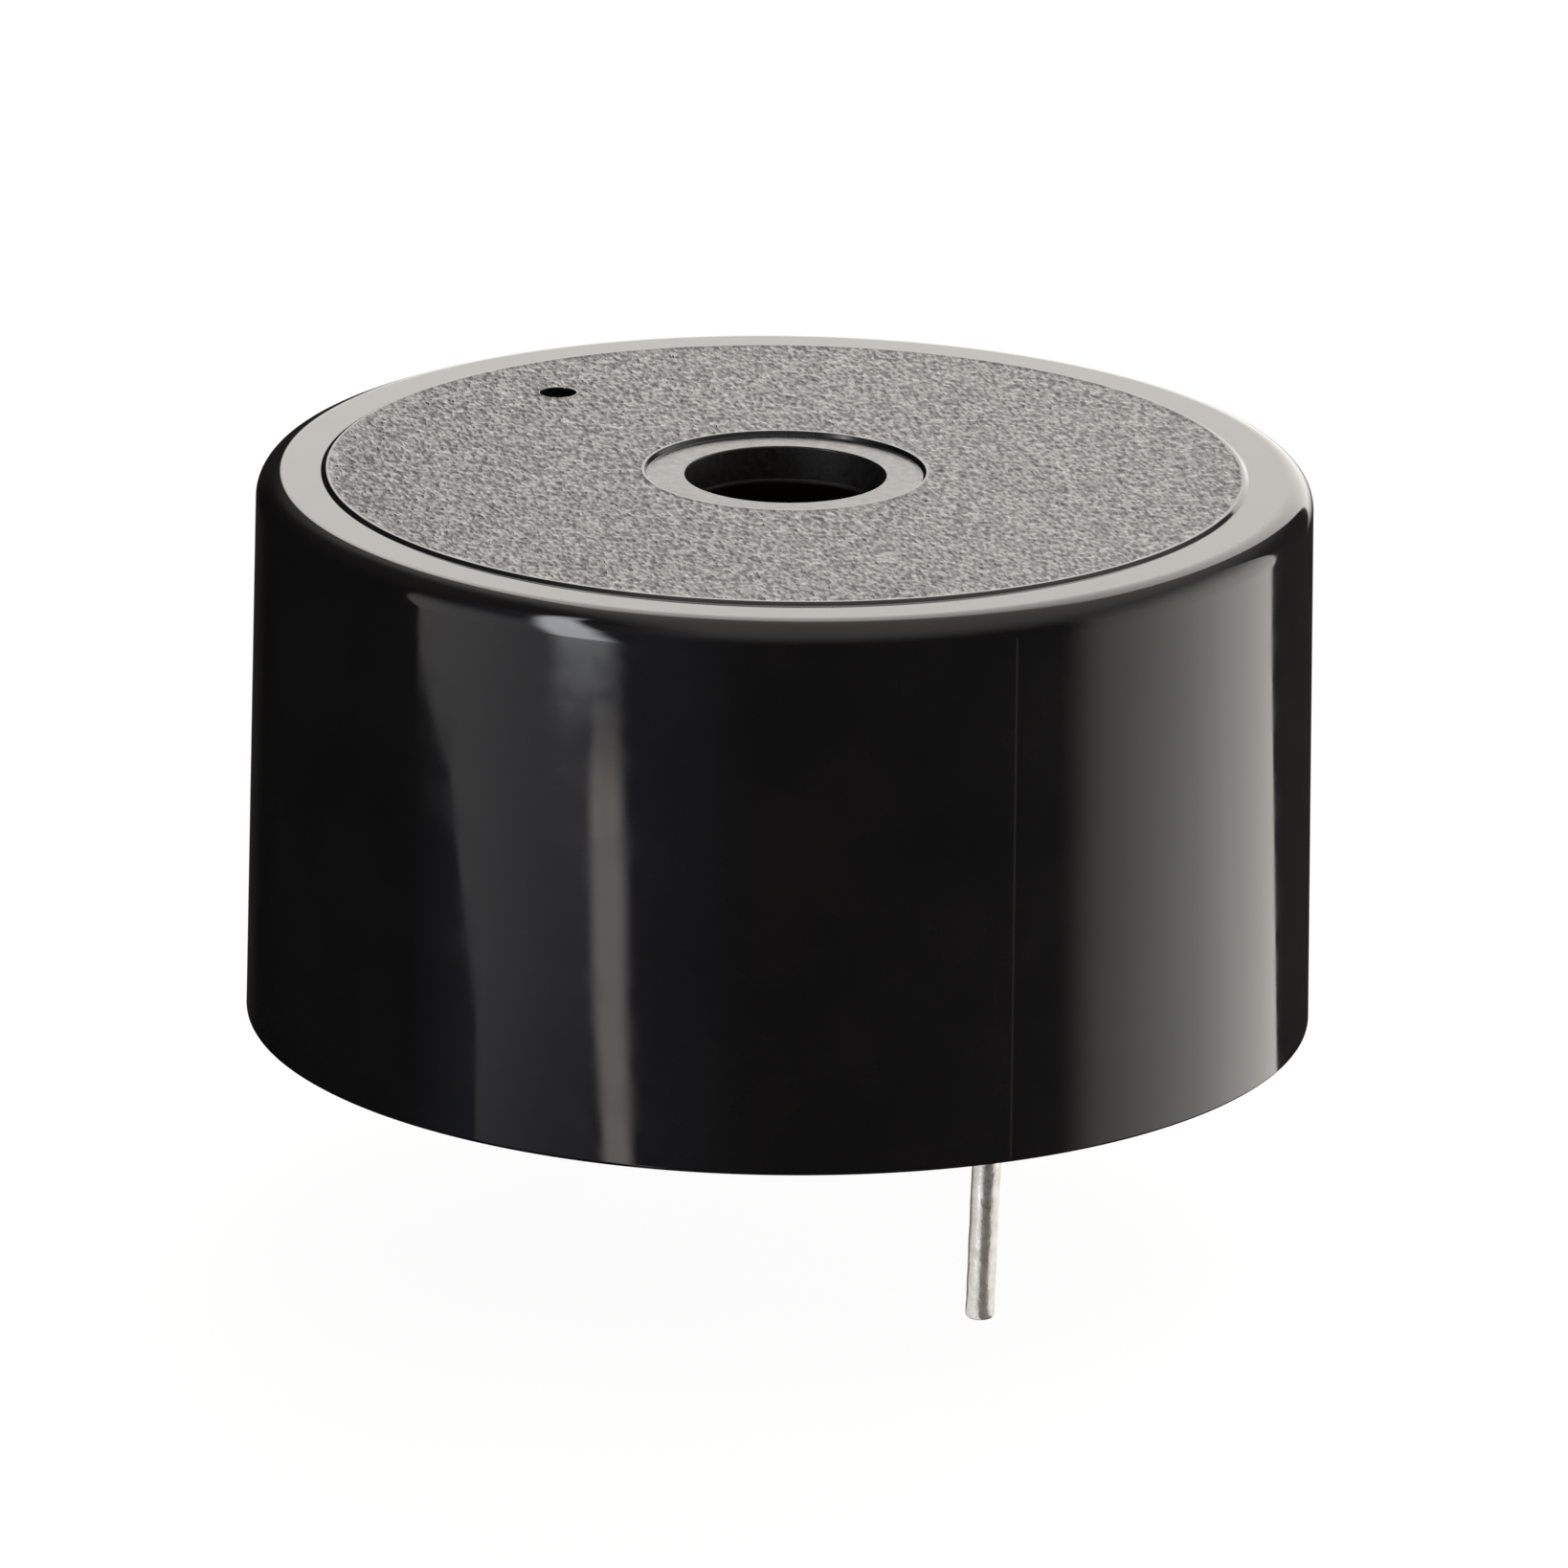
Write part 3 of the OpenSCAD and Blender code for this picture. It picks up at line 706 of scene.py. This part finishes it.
def turned_cup():
    """Points and faces of the cup, open where the flat of its pad goes."""
    rim_edge = HOUSING_R - RIM_Z * math.tan(DRAFT)
    lip_r = HOLE_R - LIP
    lip_z = CHAMBER_Z - LIP
    section = rounded_section([
        (pad_outer, PAD_Z),
        (PAD_R, PAD_Z, PAD_ROUND, 3),
        (PAD_FOOT_R, RIM_Z, PAD_ROUND, 3),
        (rim_edge, RIM_Z, TOP_ROUND, 16),
        (HOUSING_R, 0, FOOT_ROUND, 4),
        (BOARD_BORE_R, 0, MOUTH_ROUND, 3),
        (BOARD_BORE_R, BOARD_STEP_Z),
        (BORE_R, BOARD_STEP_Z),
        (BORE_R, LEDGE_Z),
        (CHAMBER_R, LEDGE_Z),
        (CHAMBER_R, CHAMBER_Z),
        (HOLE_R + LIP_FOOT, CHAMBER_Z),
        (HOLE_R + LIP_NECK, lip_z),
        (lip_r, lip_z),
        (lip_r, CHAMBER_Z + LIP_RISE, LIP_ROUND, 3),
        (HOLE_R, CHAMBER_Z + LIP_END),
        (HOLE_R, RING_Z, HOLE_ROUND, 4),
        (RING_R, RING_Z, PAD_ROUND, 3),
        (RING_TOP_R, PAD_Z, RING_ROUND, 3),
        (pad_inner, PAD_Z),
    ])
    weld_top = RIM_Z - TOP_ROUND + WELD_RISE
    on_wall = [float(x > WALL_FROM_R and FOOT_ROUND < z < weld_top) for x, z in section]
    cup = section_piece("turned_cup", section, weld=on_wall)
    run_tree(cup, TURNED, {
        "Segments": HOUSING_SEGMENTS, "Weld angle": WELD_ANGLE, "Weld width": WELD_WIDTH,
        "Weld columns": WELD_COLUMNS, "Weld depth": WELD_DEPTH * MM, "Material": GLOSS_PLASTIC})
    mesh = cup.data
    points = vectors_of(mesh.vertices, "co") / MM
    faces = [tuple(f.vertices) for f in mesh.polygons]
    bpy.data.objects.remove(cup)
    bpy.data.meshes.remove(mesh)
    return points, faces


GRAIN_STEP = 0.0635
GRAIN_FADE = 0.08
FLAT_WITHIN = 0.001
DOT_SIDES = 64
DOT_CLEARED = 0.085
DOT_BORDER = 0.05
DOT_SMOOTH = 0.03
DOT_ROUND = 0.025
DOT_TAPER = 0.012
DOT_FLOOR_ROUND = 0.05


def cup_angles():
    """Angles of the turned cup's columns: the band of the weld line, then the rest of the turn."""
    band = WELD_ANGLE + WELD_WIDTH * (np.arange(WELD_COLUMNS + 1) / WELD_COLUMNS - 0.5)
    around = HOUSING_SEGMENTS - WELD_COLUMNS
    rest = WELD_ANGLE + WELD_WIDTH / 2 + np.arange(1, around) * (TURN - WELD_WIDTH) / around
    return np.concatenate([band, rest])


def pad_skin():
    """Flat of the pad as loosely scattered points, with the polarity dot sunk in it."""
    skin = Skin()
    angles = cup_angles()
    edge = skin.ring(AXIS, pad_outer, PAD_Z, angles)
    count = round((pad_outer - pad_inner) / GRAIN_STEP)
    radii = np.linspace(pad_outer, pad_inner, count + 1)[1:-1]
    last = skin.field(edge, radii, GRAIN_STEP, PAD_Z, rng)
    skin.join(skin.ring(AXIS, pad_inner, PAD_Z, angles), last)
    dot_floor = PAD_Z - DOT_DEPTH
    section = rounded_section([
        (DOT_R + DOT_BORDER, PAD_Z),
        (DOT_R, PAD_Z, DOT_ROUND, 4),
        (DOT_R - DOT_TAPER, dot_floor, DOT_FLOOR_ROUND, 4),
        (0, dot_floor),
    ])[:-1]
    rings = [skin.ring(DOT_AT, x, z, circle_angles(DOT_SIDES)) for x, z in section]
    skin.hole(DOT_AT, DOT_R + DOT_CLEARED, rings[0])
    for outer, inner in zip(rings, rings[1:]):
        skin.join(inner, outer)
    skin.fan(rings[-1], dot_floor)
    skin.tidy()
    return skin


def grain_share(points):
    """How much of the grain each point of the pad has: none at the edges and in the dot."""
    reach = np.hypot(points[:, 0], points[:, 1])
    from_dot = np.hypot(points[:, 0] - DOT_AT[0], points[:, 1] - DOT_AT[1])
    within = np.minimum.reduce([pad_outer - reach, reach - pad_inner, from_dot - DOT_R - DOT_SMOOTH])
    return np.clip(within / GRAIN_FADE, 0, 1) * (points[:, 2] > PAD_Z - FLAT_WITHIN)


cup_points, cup_faces = turned_cup()
pad = pad_skin()
pad_points = np.array(pad.points)
first = len(cup_points)
housing = new_piece(
    "housing_moulding", np.concatenate([cup_points, pad_points]),
    cup_faces + [tuple(first + k for k in f) for f in pad.faces],
    relief=np.concatenate([np.zeros(first), grain_share(pad_points)]))
housing.data.materials.append(GLOSS_PLASTIC)
close_up(housing)
run_tree(housing, SUNK_RELIEF, {
    "Size": 0.18 * MM, "Depth": 0.03 * MM, "Detail": 0.5, "Seed": 3.0, "Material": GRAIN_PLASTIC})

# Duller finishes of the ring and of the sound hole's wall, the wall's with painted glints as pale specks
ZONE_MARGIN = 0.01
RING_ZONE = 0.06
BORE_ZONE_LOW = 0.2
BORE_ZONE_HIGH = 0.03
middles = vectors_of(housing.data.polygons, "center") / MM
reach = np.hypot(middles[:, 0], middles[:, 1])
heights = middles[:, 2]
on_ring = (reach > HOLE_R) & (reach < RING_TOP_R + ZONE_MARGIN) & (heights > RING_Z - RING_ZONE)
up_the_bore = (heights > CHAMBER_Z - BORE_ZONE_LOW) & (heights < RING_Z - BORE_ZONE_HIGH)
in_bore = (reach < HOLE_R + ZONE_MARGIN) & up_the_bore
kinds = np.zeros(len(middles), np.int32)
housing.data.polygons.foreach_get("material_index", kinds)
for material, zone in ((RING_PLASTIC, on_ring), (BORE_PLASTIC, in_bore)):
    kinds[zone] = len(housing.data.materials)
    housing.data.materials.append(material)
housing.data.polygons.foreach_set("material_index", kinds)
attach(housing, "root")
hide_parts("housing")


# Pins: turned, slightly uneven where they stand out

PIN_SIDES = 40
PIN_ROUND = 0.04
TAIL_ROUND = 0.06
LONG_STRETCH = 3
STRETCH_POINTS = 62
PIN_LEAN = (0.0151, 0.0191)
UNEVEN_BELOW = 0.1
UNEVEN_FADE = 0.2
TIP_FADE = 0.15


def pin_section():
    """Bevelled tip, wire, shank in the potting, collar under the board and tail, with points up the wire."""
    points = rounded_section([
        (0, PIN_TIP),
        (PIN_R - PIN_BEVEL, PIN_TIP, PIN_ROUND, 3),
        (PIN_R, PIN_TIP + PIN_BEVEL, PIN_ROUND, 3),
        (PIN_R, POTTING_Z),
        (SHANK_R, POTTING_Z),
        (SHANK_R, COLLAR_Z),
        (COLLAR_R, COLLAR_Z, PIN_ROUND, 2),
        (COLLAR_R, BOARD_UNDER, PIN_ROUND, 2),
        (SHANK_R, BOARD_UNDER),
        (SHANK_R, TAIL_Z, TAIL_ROUND, 3),
        (0, TAIL_Z),
    ])
    foot = next(i for i in range(len(points) - 1) if points[i + 1][1] - points[i][1] > LONG_STRETCH)
    low = points[foot]
    high = points[foot + 1]
    between = [low + (high - low) * t for t in np.linspace(0, 1, STRETCH_POINTS)[1:-1]]
    return points[:foot + 1] + between + points[foot + 1:]


underside = bpy.data.collections.new("underside")
for name, x, seed, lean in (
        ("positive_pin", -PIN_X, 11.0, (0.0, 0.0)),
        ("negative_pin", PIN_X, 12.0, PIN_LEAN)):
    pin = section_piece(name + "_wire", pin_section())
    centre = (x * MM, 0.0, 0.0)
    run_tree(pin, TURNED, {"Segments": PIN_SIDES, "Centre": centre, "Material": TINNED_PIN})
    close_up(pin)
    spots = vectors_of(pin.data.vertices, "co")
    heights = spots[:, 2] / MM
    spots[:, :2] += np.outer(np.minimum(spots[:, 2] - POTTING_Z * MM / 2, 0), lean)
    pin.data.vertices.foreach_set("co", spots.ravel())
    below_potting = np.clip((POTTING_Z - UNEVEN_BELOW - heights) / UNEVEN_FADE, 0, 1)
    above_tip = np.clip((heights - PIN_TIP) / TIP_FADE, 0, 1)
    set_point_values(pin.data, "relief", below_potting * above_tip)
    run_tree(pin, SUNK_RELIEF, {
        "Size": 0.45 * MM, "Depth": 0.016 * MM, "Detail": 2.0, "Seed": seed, "Material": TINNED_PIN})
    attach(pin, "root")
    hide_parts(name)
    underside.objects.link(pin)


# Potting: cast surface that wets the wall and the pins, with the pins' shanks and collars cut out of it

WALL_POINTS = 220
NEAR_WALL = (0.06, 0.13, 0.21, 0.31, 0.44, 0.6)
NEAR_WALL_STEP = 0.3
OPEN_FROM_WALL = 0.85
OPEN_STEP = 0.28
OPEN_LEAST_R = 0.3
NEAR_PIN_R = (PIN_R, 0.37, 0.44, 0.55, 0.7)
PIN_CLEARED_R = 0.86
WALL_CREEP = 0.2
WALL_CREEP_REACH = 0.16
PIN_CREEP = 0.11
PIN_CREEP_REACH = 0.1
UNEVEN_FROM_WALL = 1.2
UNEVEN_FROM_PIN = 0.8
TOP_STEP = 0.6
TOP_LEAST_R = 0.4
COLLAR_CLEARED = 0.3
TOUCHING = 1e-6

cast = Skin()
wall_angles = circle_angles(WALL_POINTS)
pin_angles = circle_angles(PIN_SIDES)
wall_low = cast.ring(AXIS, BOARD_BORE_R, POTTING_Z, wall_angles)
near_wall = [BOARD_BORE_R - d for d in NEAR_WALL]
disc = cast.field(wall_low, near_wall, NEAR_WALL_STEP, POTTING_Z, rng)
open_radii = np.arange(BOARD_BORE_R - OPEN_FROM_WALL, OPEN_LEAST_R, -OPEN_STEP)
disc = cast.field(disc, open_radii, OPEN_STEP, POTTING_Z, rng)
cast.fan(disc, POTTING_Z)
pin_rims = {}
for x in (-PIN_X, PIN_X):
    rings = [cast.ring((x, 0), r, POTTING_Z, pin_angles) for r in NEAR_PIN_R]
    cast.hole((x, 0), PIN_CLEARED_R, rings[-1])
    for inner, outer in zip(rings, rings[1:]):
        cast.join(inner, outer)
    pin_rims[x] = rings[0]

low = np.array(cast.points)
reach = np.hypot(low[:, 0], low[:, 1])
from_wall = BOARD_BORE_R - np.minimum(reach, BOARD_BORE_R)
from_pin = np.minimum(*(np.hypot(low[:, 0] - x, low[:, 1]) for x in (-PIN_X, PIN_X))) - PIN_R
low[:, 2] -= WALL_CREEP * np.exp(-from_wall / WALL_CREEP_REACH)
low[:, 2] -= PIN_CREEP * np.exp(-from_pin / PIN_CREEP_REACH) * (from_pin > -TOUCHING)
uneven = np.clip((BOARD_BORE_R - reach) / UNEVEN_FROM_WALL, 0, 1)
uneven *= np.clip(from_pin / UNEVEN_FROM_PIN, 0, 1)
cast.points = [tuple(p) for p in low.tolist()]

wall_high = cast.ring(AXIS, BOARD_BORE_R, BOARD_UNDER, wall_angles)
cast.join(wall_low, wall_high)
top_face = len(cast.faces)
top_radii = np.arange(BOARD_BORE_R - TOP_STEP, TOP_LEAST_R, -TOP_STEP)
disc = cast.field(wall_high, top_radii, TOP_STEP, BOARD_UNDER, rng)
cast.fan(disc, BOARD_UNDER)
for x, ring in pin_rims.items():
    for r, z in ((PIN_R, POTTING_Z), (SHANK_R, POTTING_Z), (SHANK_R, COLLAR_Z), (COLLAR_R, COLLAR_Z),
                 (COLLAR_R, BOARD_UNDER)):
        upper = cast.ring((x, 0), r, z, pin_angles)
        if z == BOARD_UNDER:
            cast.hole((x, 0), COLLAR_R + COLLAR_CLEARED, upper, top_face)
        cast.join(ring, upper)
        ring = upper
uneven = np.concatenate([uneven, np.zeros(len(cast.points) - len(uneven))])
kept = cast.tidy()
potting = new_piece("potting_cast", cast.points, cast.faces, relief=uneven[kept])
potting.data.materials.append(EPOXY)
close_up(potting)
run_tree(potting, SUNK_RELIEF, {
    "Size": 3.2 * MM, "Depth": 0.05 * MM, "Detail": 2.0, "Seed": 5.0, "Material": EPOXY})
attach(potting, "root")
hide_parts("potting")
underside.objects.link(potting)


# Leads from the sounding disc down to the board

LEAD_POINTS = 41
LEAD_SIDES = 18
BOARD_JOINT_Z = 3.95
PLATE_JOINT_Z = 8.0
SILVER_JOINT_Z = 7.75
ground_joint = (GROUND_R * math.cos(GROUND_ANGLE), GROUND_R * math.sin(GROUND_ANGLE), PLATE_JOINT_Z)


def lead_path(top, bottom):
    """Points of a curve that leaves the upper joint straight down and meets the lower one straight on."""
    start = np.array(top)
    end = np.array(bottom)
    straight = np.array((0.0, 0.0, LEAD_STRAIGHT))
    points = []
    for t in np.linspace(0, 1, LEAD_POINTS):
        leaving = (1 - t) ** 3 * start + 3 * (1 - t) ** 2 * t * (start - straight)
        meeting = 3 * (1 - t) * t * t * (end + straight) + t ** 3 * end
        points.append(leaving + meeting)
    return points


for name, top, bottom, material, slot in (
        ("ground_lead", ground_joint, (5.0, 4.4, BOARD_JOINT_Z), BLACK_WIRE, "black_insulation"),
        ("drive_lead", (0.0, 4.9, SILVER_JOINT_Z), (1.6, 5.6, BOARD_JOINT_Z), RED_WIRE, "red_insulation"),
        ("feedback_lead", (0.0, -4.9, SILVER_JOINT_Z), (4.4, -5.4, BOARD_JOINT_Z), BLUE_WIRE,
         "blue_insulation")):
    wire = line_piece(name + "_wire", lead_path(top, bottom))
    run_tree(wire, WIRE, {"Radius": LEAD_R * MM, "Sides": LEAD_SIDES, "Material": material})
    close_up(wire)
    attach(wire, "root")
    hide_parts(name)


# Studio: pale floor, and soft cards round the part

WHITE = linear(1, 1, 1)
FLOOR_HALF = 1500.0
FLOOR_PALE = linear(0.75, 0.75, 0.75)
FLOOR_SHADE = linear(0.12, 0.12, 0.12)
FLOOR_GLOW = 0.955


def stage_piece(name, points, faces, material, **seen):
    """A piece of the studio, with the kinds of rays that see it or don't."""
    piece = new_piece(name, points, faces)
    piece.data.materials.append(material)
    for ray, shown in seen.items():
        setattr(piece, "visible_" + ray, shown)
    return piece


def plain_tree(name):
    material = bpy.data.materials.new(name)
    material.use_nodes = True
    material.node_tree.nodes.clear()
    return material, material.node_tree


def floor_material():
    """White to the camera apart from the part's shadow, pale to other light, and clear from below."""
    material, tree = plain_tree("pale_floor")
    pale = node(tree, "ShaderNodeBsdfDiffuse", {"Color": FLOOR_PALE}).outputs[0]
    shade = node(tree, "ShaderNodeBsdfDiffuse", {"Color": FLOOR_SHADE}).outputs[0]
    glow = node(tree, "ShaderNodeEmission", {"Color": WHITE, "Strength": FLOOR_GLOW}).outputs[0]
    white = node(tree, "ShaderNodeAddShader", {0: shade, 1: glow}).outputs[0]
    to_camera = node(tree, "ShaderNodeLightPath").outputs["Is Camera Ray"]
    upper = node(tree, "ShaderNodeMixShader", {0: to_camera, 1: pale, 2: white}).outputs[0]
    under = node(tree, "ShaderNodeNewGeometry").outputs["Backfacing"]
    clear = node(tree, "ShaderNodeBsdfTransparent").outputs[0]
    both = node(tree, "ShaderNodeMixShader", {0: under, 1: upper, 2: clear}).outputs[0]
    put(tree, both, node(tree, "ShaderNodeOutputMaterial").inputs["Surface"])
    return material


corners = [(x * FLOOR_HALF, y * FLOOR_HALF, PIN_TIP) for x, y in ((-1, -1), (1, -1), (1, 1), (-1, 1))]
stage_piece("floor", corners, [(0, 1, 2, 3)], floor_material(), glossy=False, shadow=False)

CARD_ROWS = 5
CARD_CELLS = 10


def card_material(name, tint, levels, full, soft, foot):
    """Light that goes from one level to another along the card, over a share of its length.
    Soft is the width of its soft sides (start, end, bottom, top), and foot the share that is left of it
    at the lower edge. It adds to what is behind the card."""
    material, tree = plain_tree(name)
    place = node(tree, "ShaderNodeUVMap").outputs[0]
    along, up, _ = node(tree, "ShaderNodeSeparateXYZ", {0: place}).outputs
    back_along = maths(tree, "SUBTRACT", 1.0, along)
    back_down = maths(tree, "SUBTRACT", 1.0, up)
    level = ramp(tree, along, 0.0, full, *levels, "LINEAR")
    level = maths(tree, "MULTIPLY", level, ramp(tree, up, 0.0, 1.0, foot, 1.0, "LINEAR"))
    for value, width in zip((along, back_along, up, back_down), soft):
        level = maths(tree, "MULTIPLY", level, ramp(tree, value, 0.0, width))
    glow = node(tree, "ShaderNodeEmission", {"Color": linear(*tint), "Strength": level}).outputs[0]
    clear = node(tree, "ShaderNodeBsdfTransparent").outputs[0]
    veil = node(tree, "ShaderNodeAddShader", {0: clear, 1: glow}).outputs[0]
    put(tree, veil, node(tree, "ShaderNodeOutputMaterial").inputs["Surface"])
    return material


def card(name, azimuth, distance, start, end, tint, levels, soft, full=1.0, foot=1.0, **seen):
    """Upright card seen only by reflections and as light. Azimuth is from the camera, to its right.
    Start and end are its two sides from the bottom up, as (along, height) points."""
    turn = VIEW_AZIMUTH + math.radians(azimuth)
    out = np.array((math.sin(turn), -math.cos(turn), 0))
    side = np.array((math.cos(turn), math.sin(turn), 0))
    start = np.array(start, float)
    end = np.array(end, float)
    middle = (start[:, 1] + end[:, 1]) / 2
    ups = (middle - middle[0]) / (middle[-1] - middle[0])
    columns = CARD_CELLS + 1
    points = []
    places = []
    for k in range(len(ups) - 1):
        for v in np.linspace(0, 1, CARD_ROWS):
            for u in np.linspace(0, 1, columns):
                lower = (1 - u) * start[k] + u * end[k]
                upper = (1 - u) * start[k + 1] + u * end[k + 1]
                along, height = (1 - v) * lower + v * upper
                points.append(distance * out + along * side + (0, 0, height))
                places.append((u, (1 - v) * ups[k] + v * ups[k + 1]))
    faces = []
    for row in range(len(points) // columns - 1):
        if (row + 1) % CARD_ROWS:
            first = row * columns
            faces += [(k, k + 1, k + 1 + columns, k + columns) for k in range(first, first + CARD_CELLS)]
    material = card_material(name, tint, levels, full, soft, foot)
    piece = stage_piece(name, points, faces, material, camera=False, shadow=False, **seen)
    spread = piece.data.uv_layers.new(name="place")
    for loop in piece.data.loops:
        spread.data[loop.index].uv = places[loop.vertex_index]


card("right_card", azimuth=100, distance=150,
     start=((-128, -95), (-128, -38.5), (-128, 0), (-128, 130)),
     end=((152, -95), (86, -38.5), (78, 0), (60, 130)),
     tint=(1.06, 1.0, 0.94), levels=(0.22, 2.3), full=0.72, soft=(0.22, 0.01, 0.03, 0.53))
card("left_card", azimuth=-65, distance=150,
     start=((0, -60), (-1, -45), (-3, -39.2), (-14, -36), (-24, -32.8), (-50, -31.3), (-62, 95)),
     end=((80, -60), (80, -45), (80, -39.2), (80, -36), (80, -32.8), (80, -31.3), (80, 95)),
     tint=(1.05, 1.0, 0.97), levels=(0.95, 0.54), full=0.6, soft=(0.03, 0.12, 0.26, 0.5))
card("left_strip", azimuth=-37, distance=149,
     start=((20, -75), (0, -41.5), (-7, -38), (-9.5, -34), (-12, -31), (-8, -29), (3, -27.5)),
     end=((44, -75), (22, -41.5), (19, -38), (18, -34), (15, -31), (12, -29), (8, -27.5)),
     tint=(1.1, 1.0, 0.92), levels=(2.2, 2.2), soft=(0.3, 0.35, 0.02, 0.08))
card("left_lamp", azimuth=-47, distance=148,
     start=((-10, -27.6), (-13, 0), (-22, 60), (-44, 160), (-60, 280)),
     end=((40, -28.8), (36, 0), (26, 60), (-12, 160), (-40, 280)),
     tint=(0.97, 1.0, 1.06), levels=(10.0, 10.0), soft=(0.28, 0.35, 0.016, 0.6), foot=0.62, diffuse=False)
card("dim_card", azimuth=-45, distance=160,
     start=((-139, -75), (-139, 200)),
     end=((139, -75), (139, 200)),
     tint=(0.8, 0.9, 1.3), levels=(0.13, 0.13), soft=(0.3, 0.38, 0.05, 0.3), diffuse=False)
card("back_card", azimuth=167, distance=300,
     start=((-72, -70), (-72, 40), (-86, 110), (-94, 230), (-190, 560)),
     end=((106, -70), (106, 40), (119, 110), (138, 230), (190, 560)),
     tint=(1.045, 1.0, 0.95), levels=(2.18, 2.18), soft=(0.03, 0.06, 0.14, 0.3))


# Sheets on the floor round the nearer pin, whose light only the pins and the potting receive

SHEET_REACH = 18.0
SHEET_Z = PIN_TIP + 0.02
SHEET_POINTS = 13


def sheet(name, first, last, tint, level):
    """Part of a round sheet, between two bearings from the pin. Bearings go from the camera to its right."""
    foot = np.array((PIN_X, 0.0))
    points = [(PIN_X, 0.0, SHEET_Z)]
    for bearing in np.linspace(math.radians(first), math.radians(last), SHEET_POINTS) + VIEW_AZIMUTH:
        along = np.array((math.sin(bearing), -math.cos(bearing)))
        lean = foot @ along
        x, y = foot + along * (math.sqrt(lean * lean + SHEET_REACH ** 2 - foot @ foot) - lean)
        points.append((x, y, SHEET_Z))
    material, tree = plain_tree(name)
    glow = node(tree, "ShaderNodeEmission", {"Color": linear(*tint), "Strength": level}).outputs[0]
    put(tree, glow, node(tree, "ShaderNodeOutputMaterial").inputs["Surface"])
    faces = [(0, k, k + 1) for k in range(1, SHEET_POINTS)]
    piece = stage_piece(name, points, faces, material, camera=False, shadow=False, diffuse=False)
    piece.light_linking.receiver_collection = underside


sheet("left_sheet", -112, -18, tint=(1.0, 1.0, 0.98), level=0.8)
sheet("front_sheet", -18, 54, tint=(1.12, 1.0, 0.92), level=0.2)
sheet("right_sheet", 54, 182, tint=(1.02, 1.0, 0.94), level=1.0)
sheet("back_sheet", 182, 248, tint=(1.22, 0.95, 0.8), level=0.2)


# Dim room, brighter overhead and darker on the left, with a white backdrop for the camera

ROOM_TINT = linear(1.1, 1.0, 0.92)
world = bpy.data.worlds.new("dim_room")
scene.world = world
world.use_nodes = True
tree = world.node_tree
tree.nodes.clear()
sight = node(tree, "ShaderNodeTexCoord").outputs["Generated"]
height = node(tree, "ShaderNodeSeparateXYZ", {0: sight}).outputs[2]
rightwards = (math.cos(VIEW_AZIMUTH), math.sin(VIEW_AZIMUTH), 0.0)
aside = vector_maths(tree, "DOT_PRODUCT", {0: sight, 1: rightwards}, "Value")
overhead = ramp(tree, height, low=0.2, high=0.95, to_low=0.02, to_high=0.75)
from_left = ramp(tree, aside, low=-0.5, high=-0.15, to_low=0.1, to_high=1.0)
level = maths(tree, "MULTIPLY", overhead, from_left)
room = node(tree, "ShaderNodeBackground", {"Color": ROOM_TINT, "Strength": level}).outputs[0]
backdrop = node(tree, "ShaderNodeBackground", {"Color": WHITE, "Strength": 1.0}).outputs[0]
to_camera = node(tree, "ShaderNodeLightPath").outputs["Is Camera Ray"]
both = node(tree, "ShaderNodeMixShader", {0: to_camera, 1: room, 2: backdrop}).outputs[0]
put(tree, both, node(tree, "ShaderNodeOutputWorld").inputs["Surface"])


# Camera at the photograph's angle

right = Vector((math.cos(VIEW_AZIMUTH), math.sin(VIEW_AZIMUTH), 0))
level_share = math.cos(VIEW_ELEVATION)
back = Vector((
    math.sin(VIEW_AZIMUTH) * level_share, -math.cos(VIEW_AZIMUTH) * level_share, math.sin(VIEW_ELEVATION)))
up = back.cross(right)
looked_at = (right * VIEW_RIGHT + Vector((0, 0, VIEW_HEIGHT))) * MM
camera = bpy.data.objects.new("camera", bpy.data.cameras.new("camera"))
camera.data.lens = VIEW_LENS
camera.data.sensor_width = VIEW_SENSOR
camera.data.clip_start = 0.01
camera.data.clip_end = 20.0
turned = Matrix((right, up, back)).transposed() @ Matrix.Rotation(VIEW_ROLL, 3, "Z")
camera.matrix_world = Matrix.Translation(looked_at + back * VIEW_DISTANCE * MM) @ turned.to_4x4()
scene.collection.objects.link(camera)
scene.camera = camera
scene.view_settings.view_transform = "Standard"

bpy.context.view_layer.update()
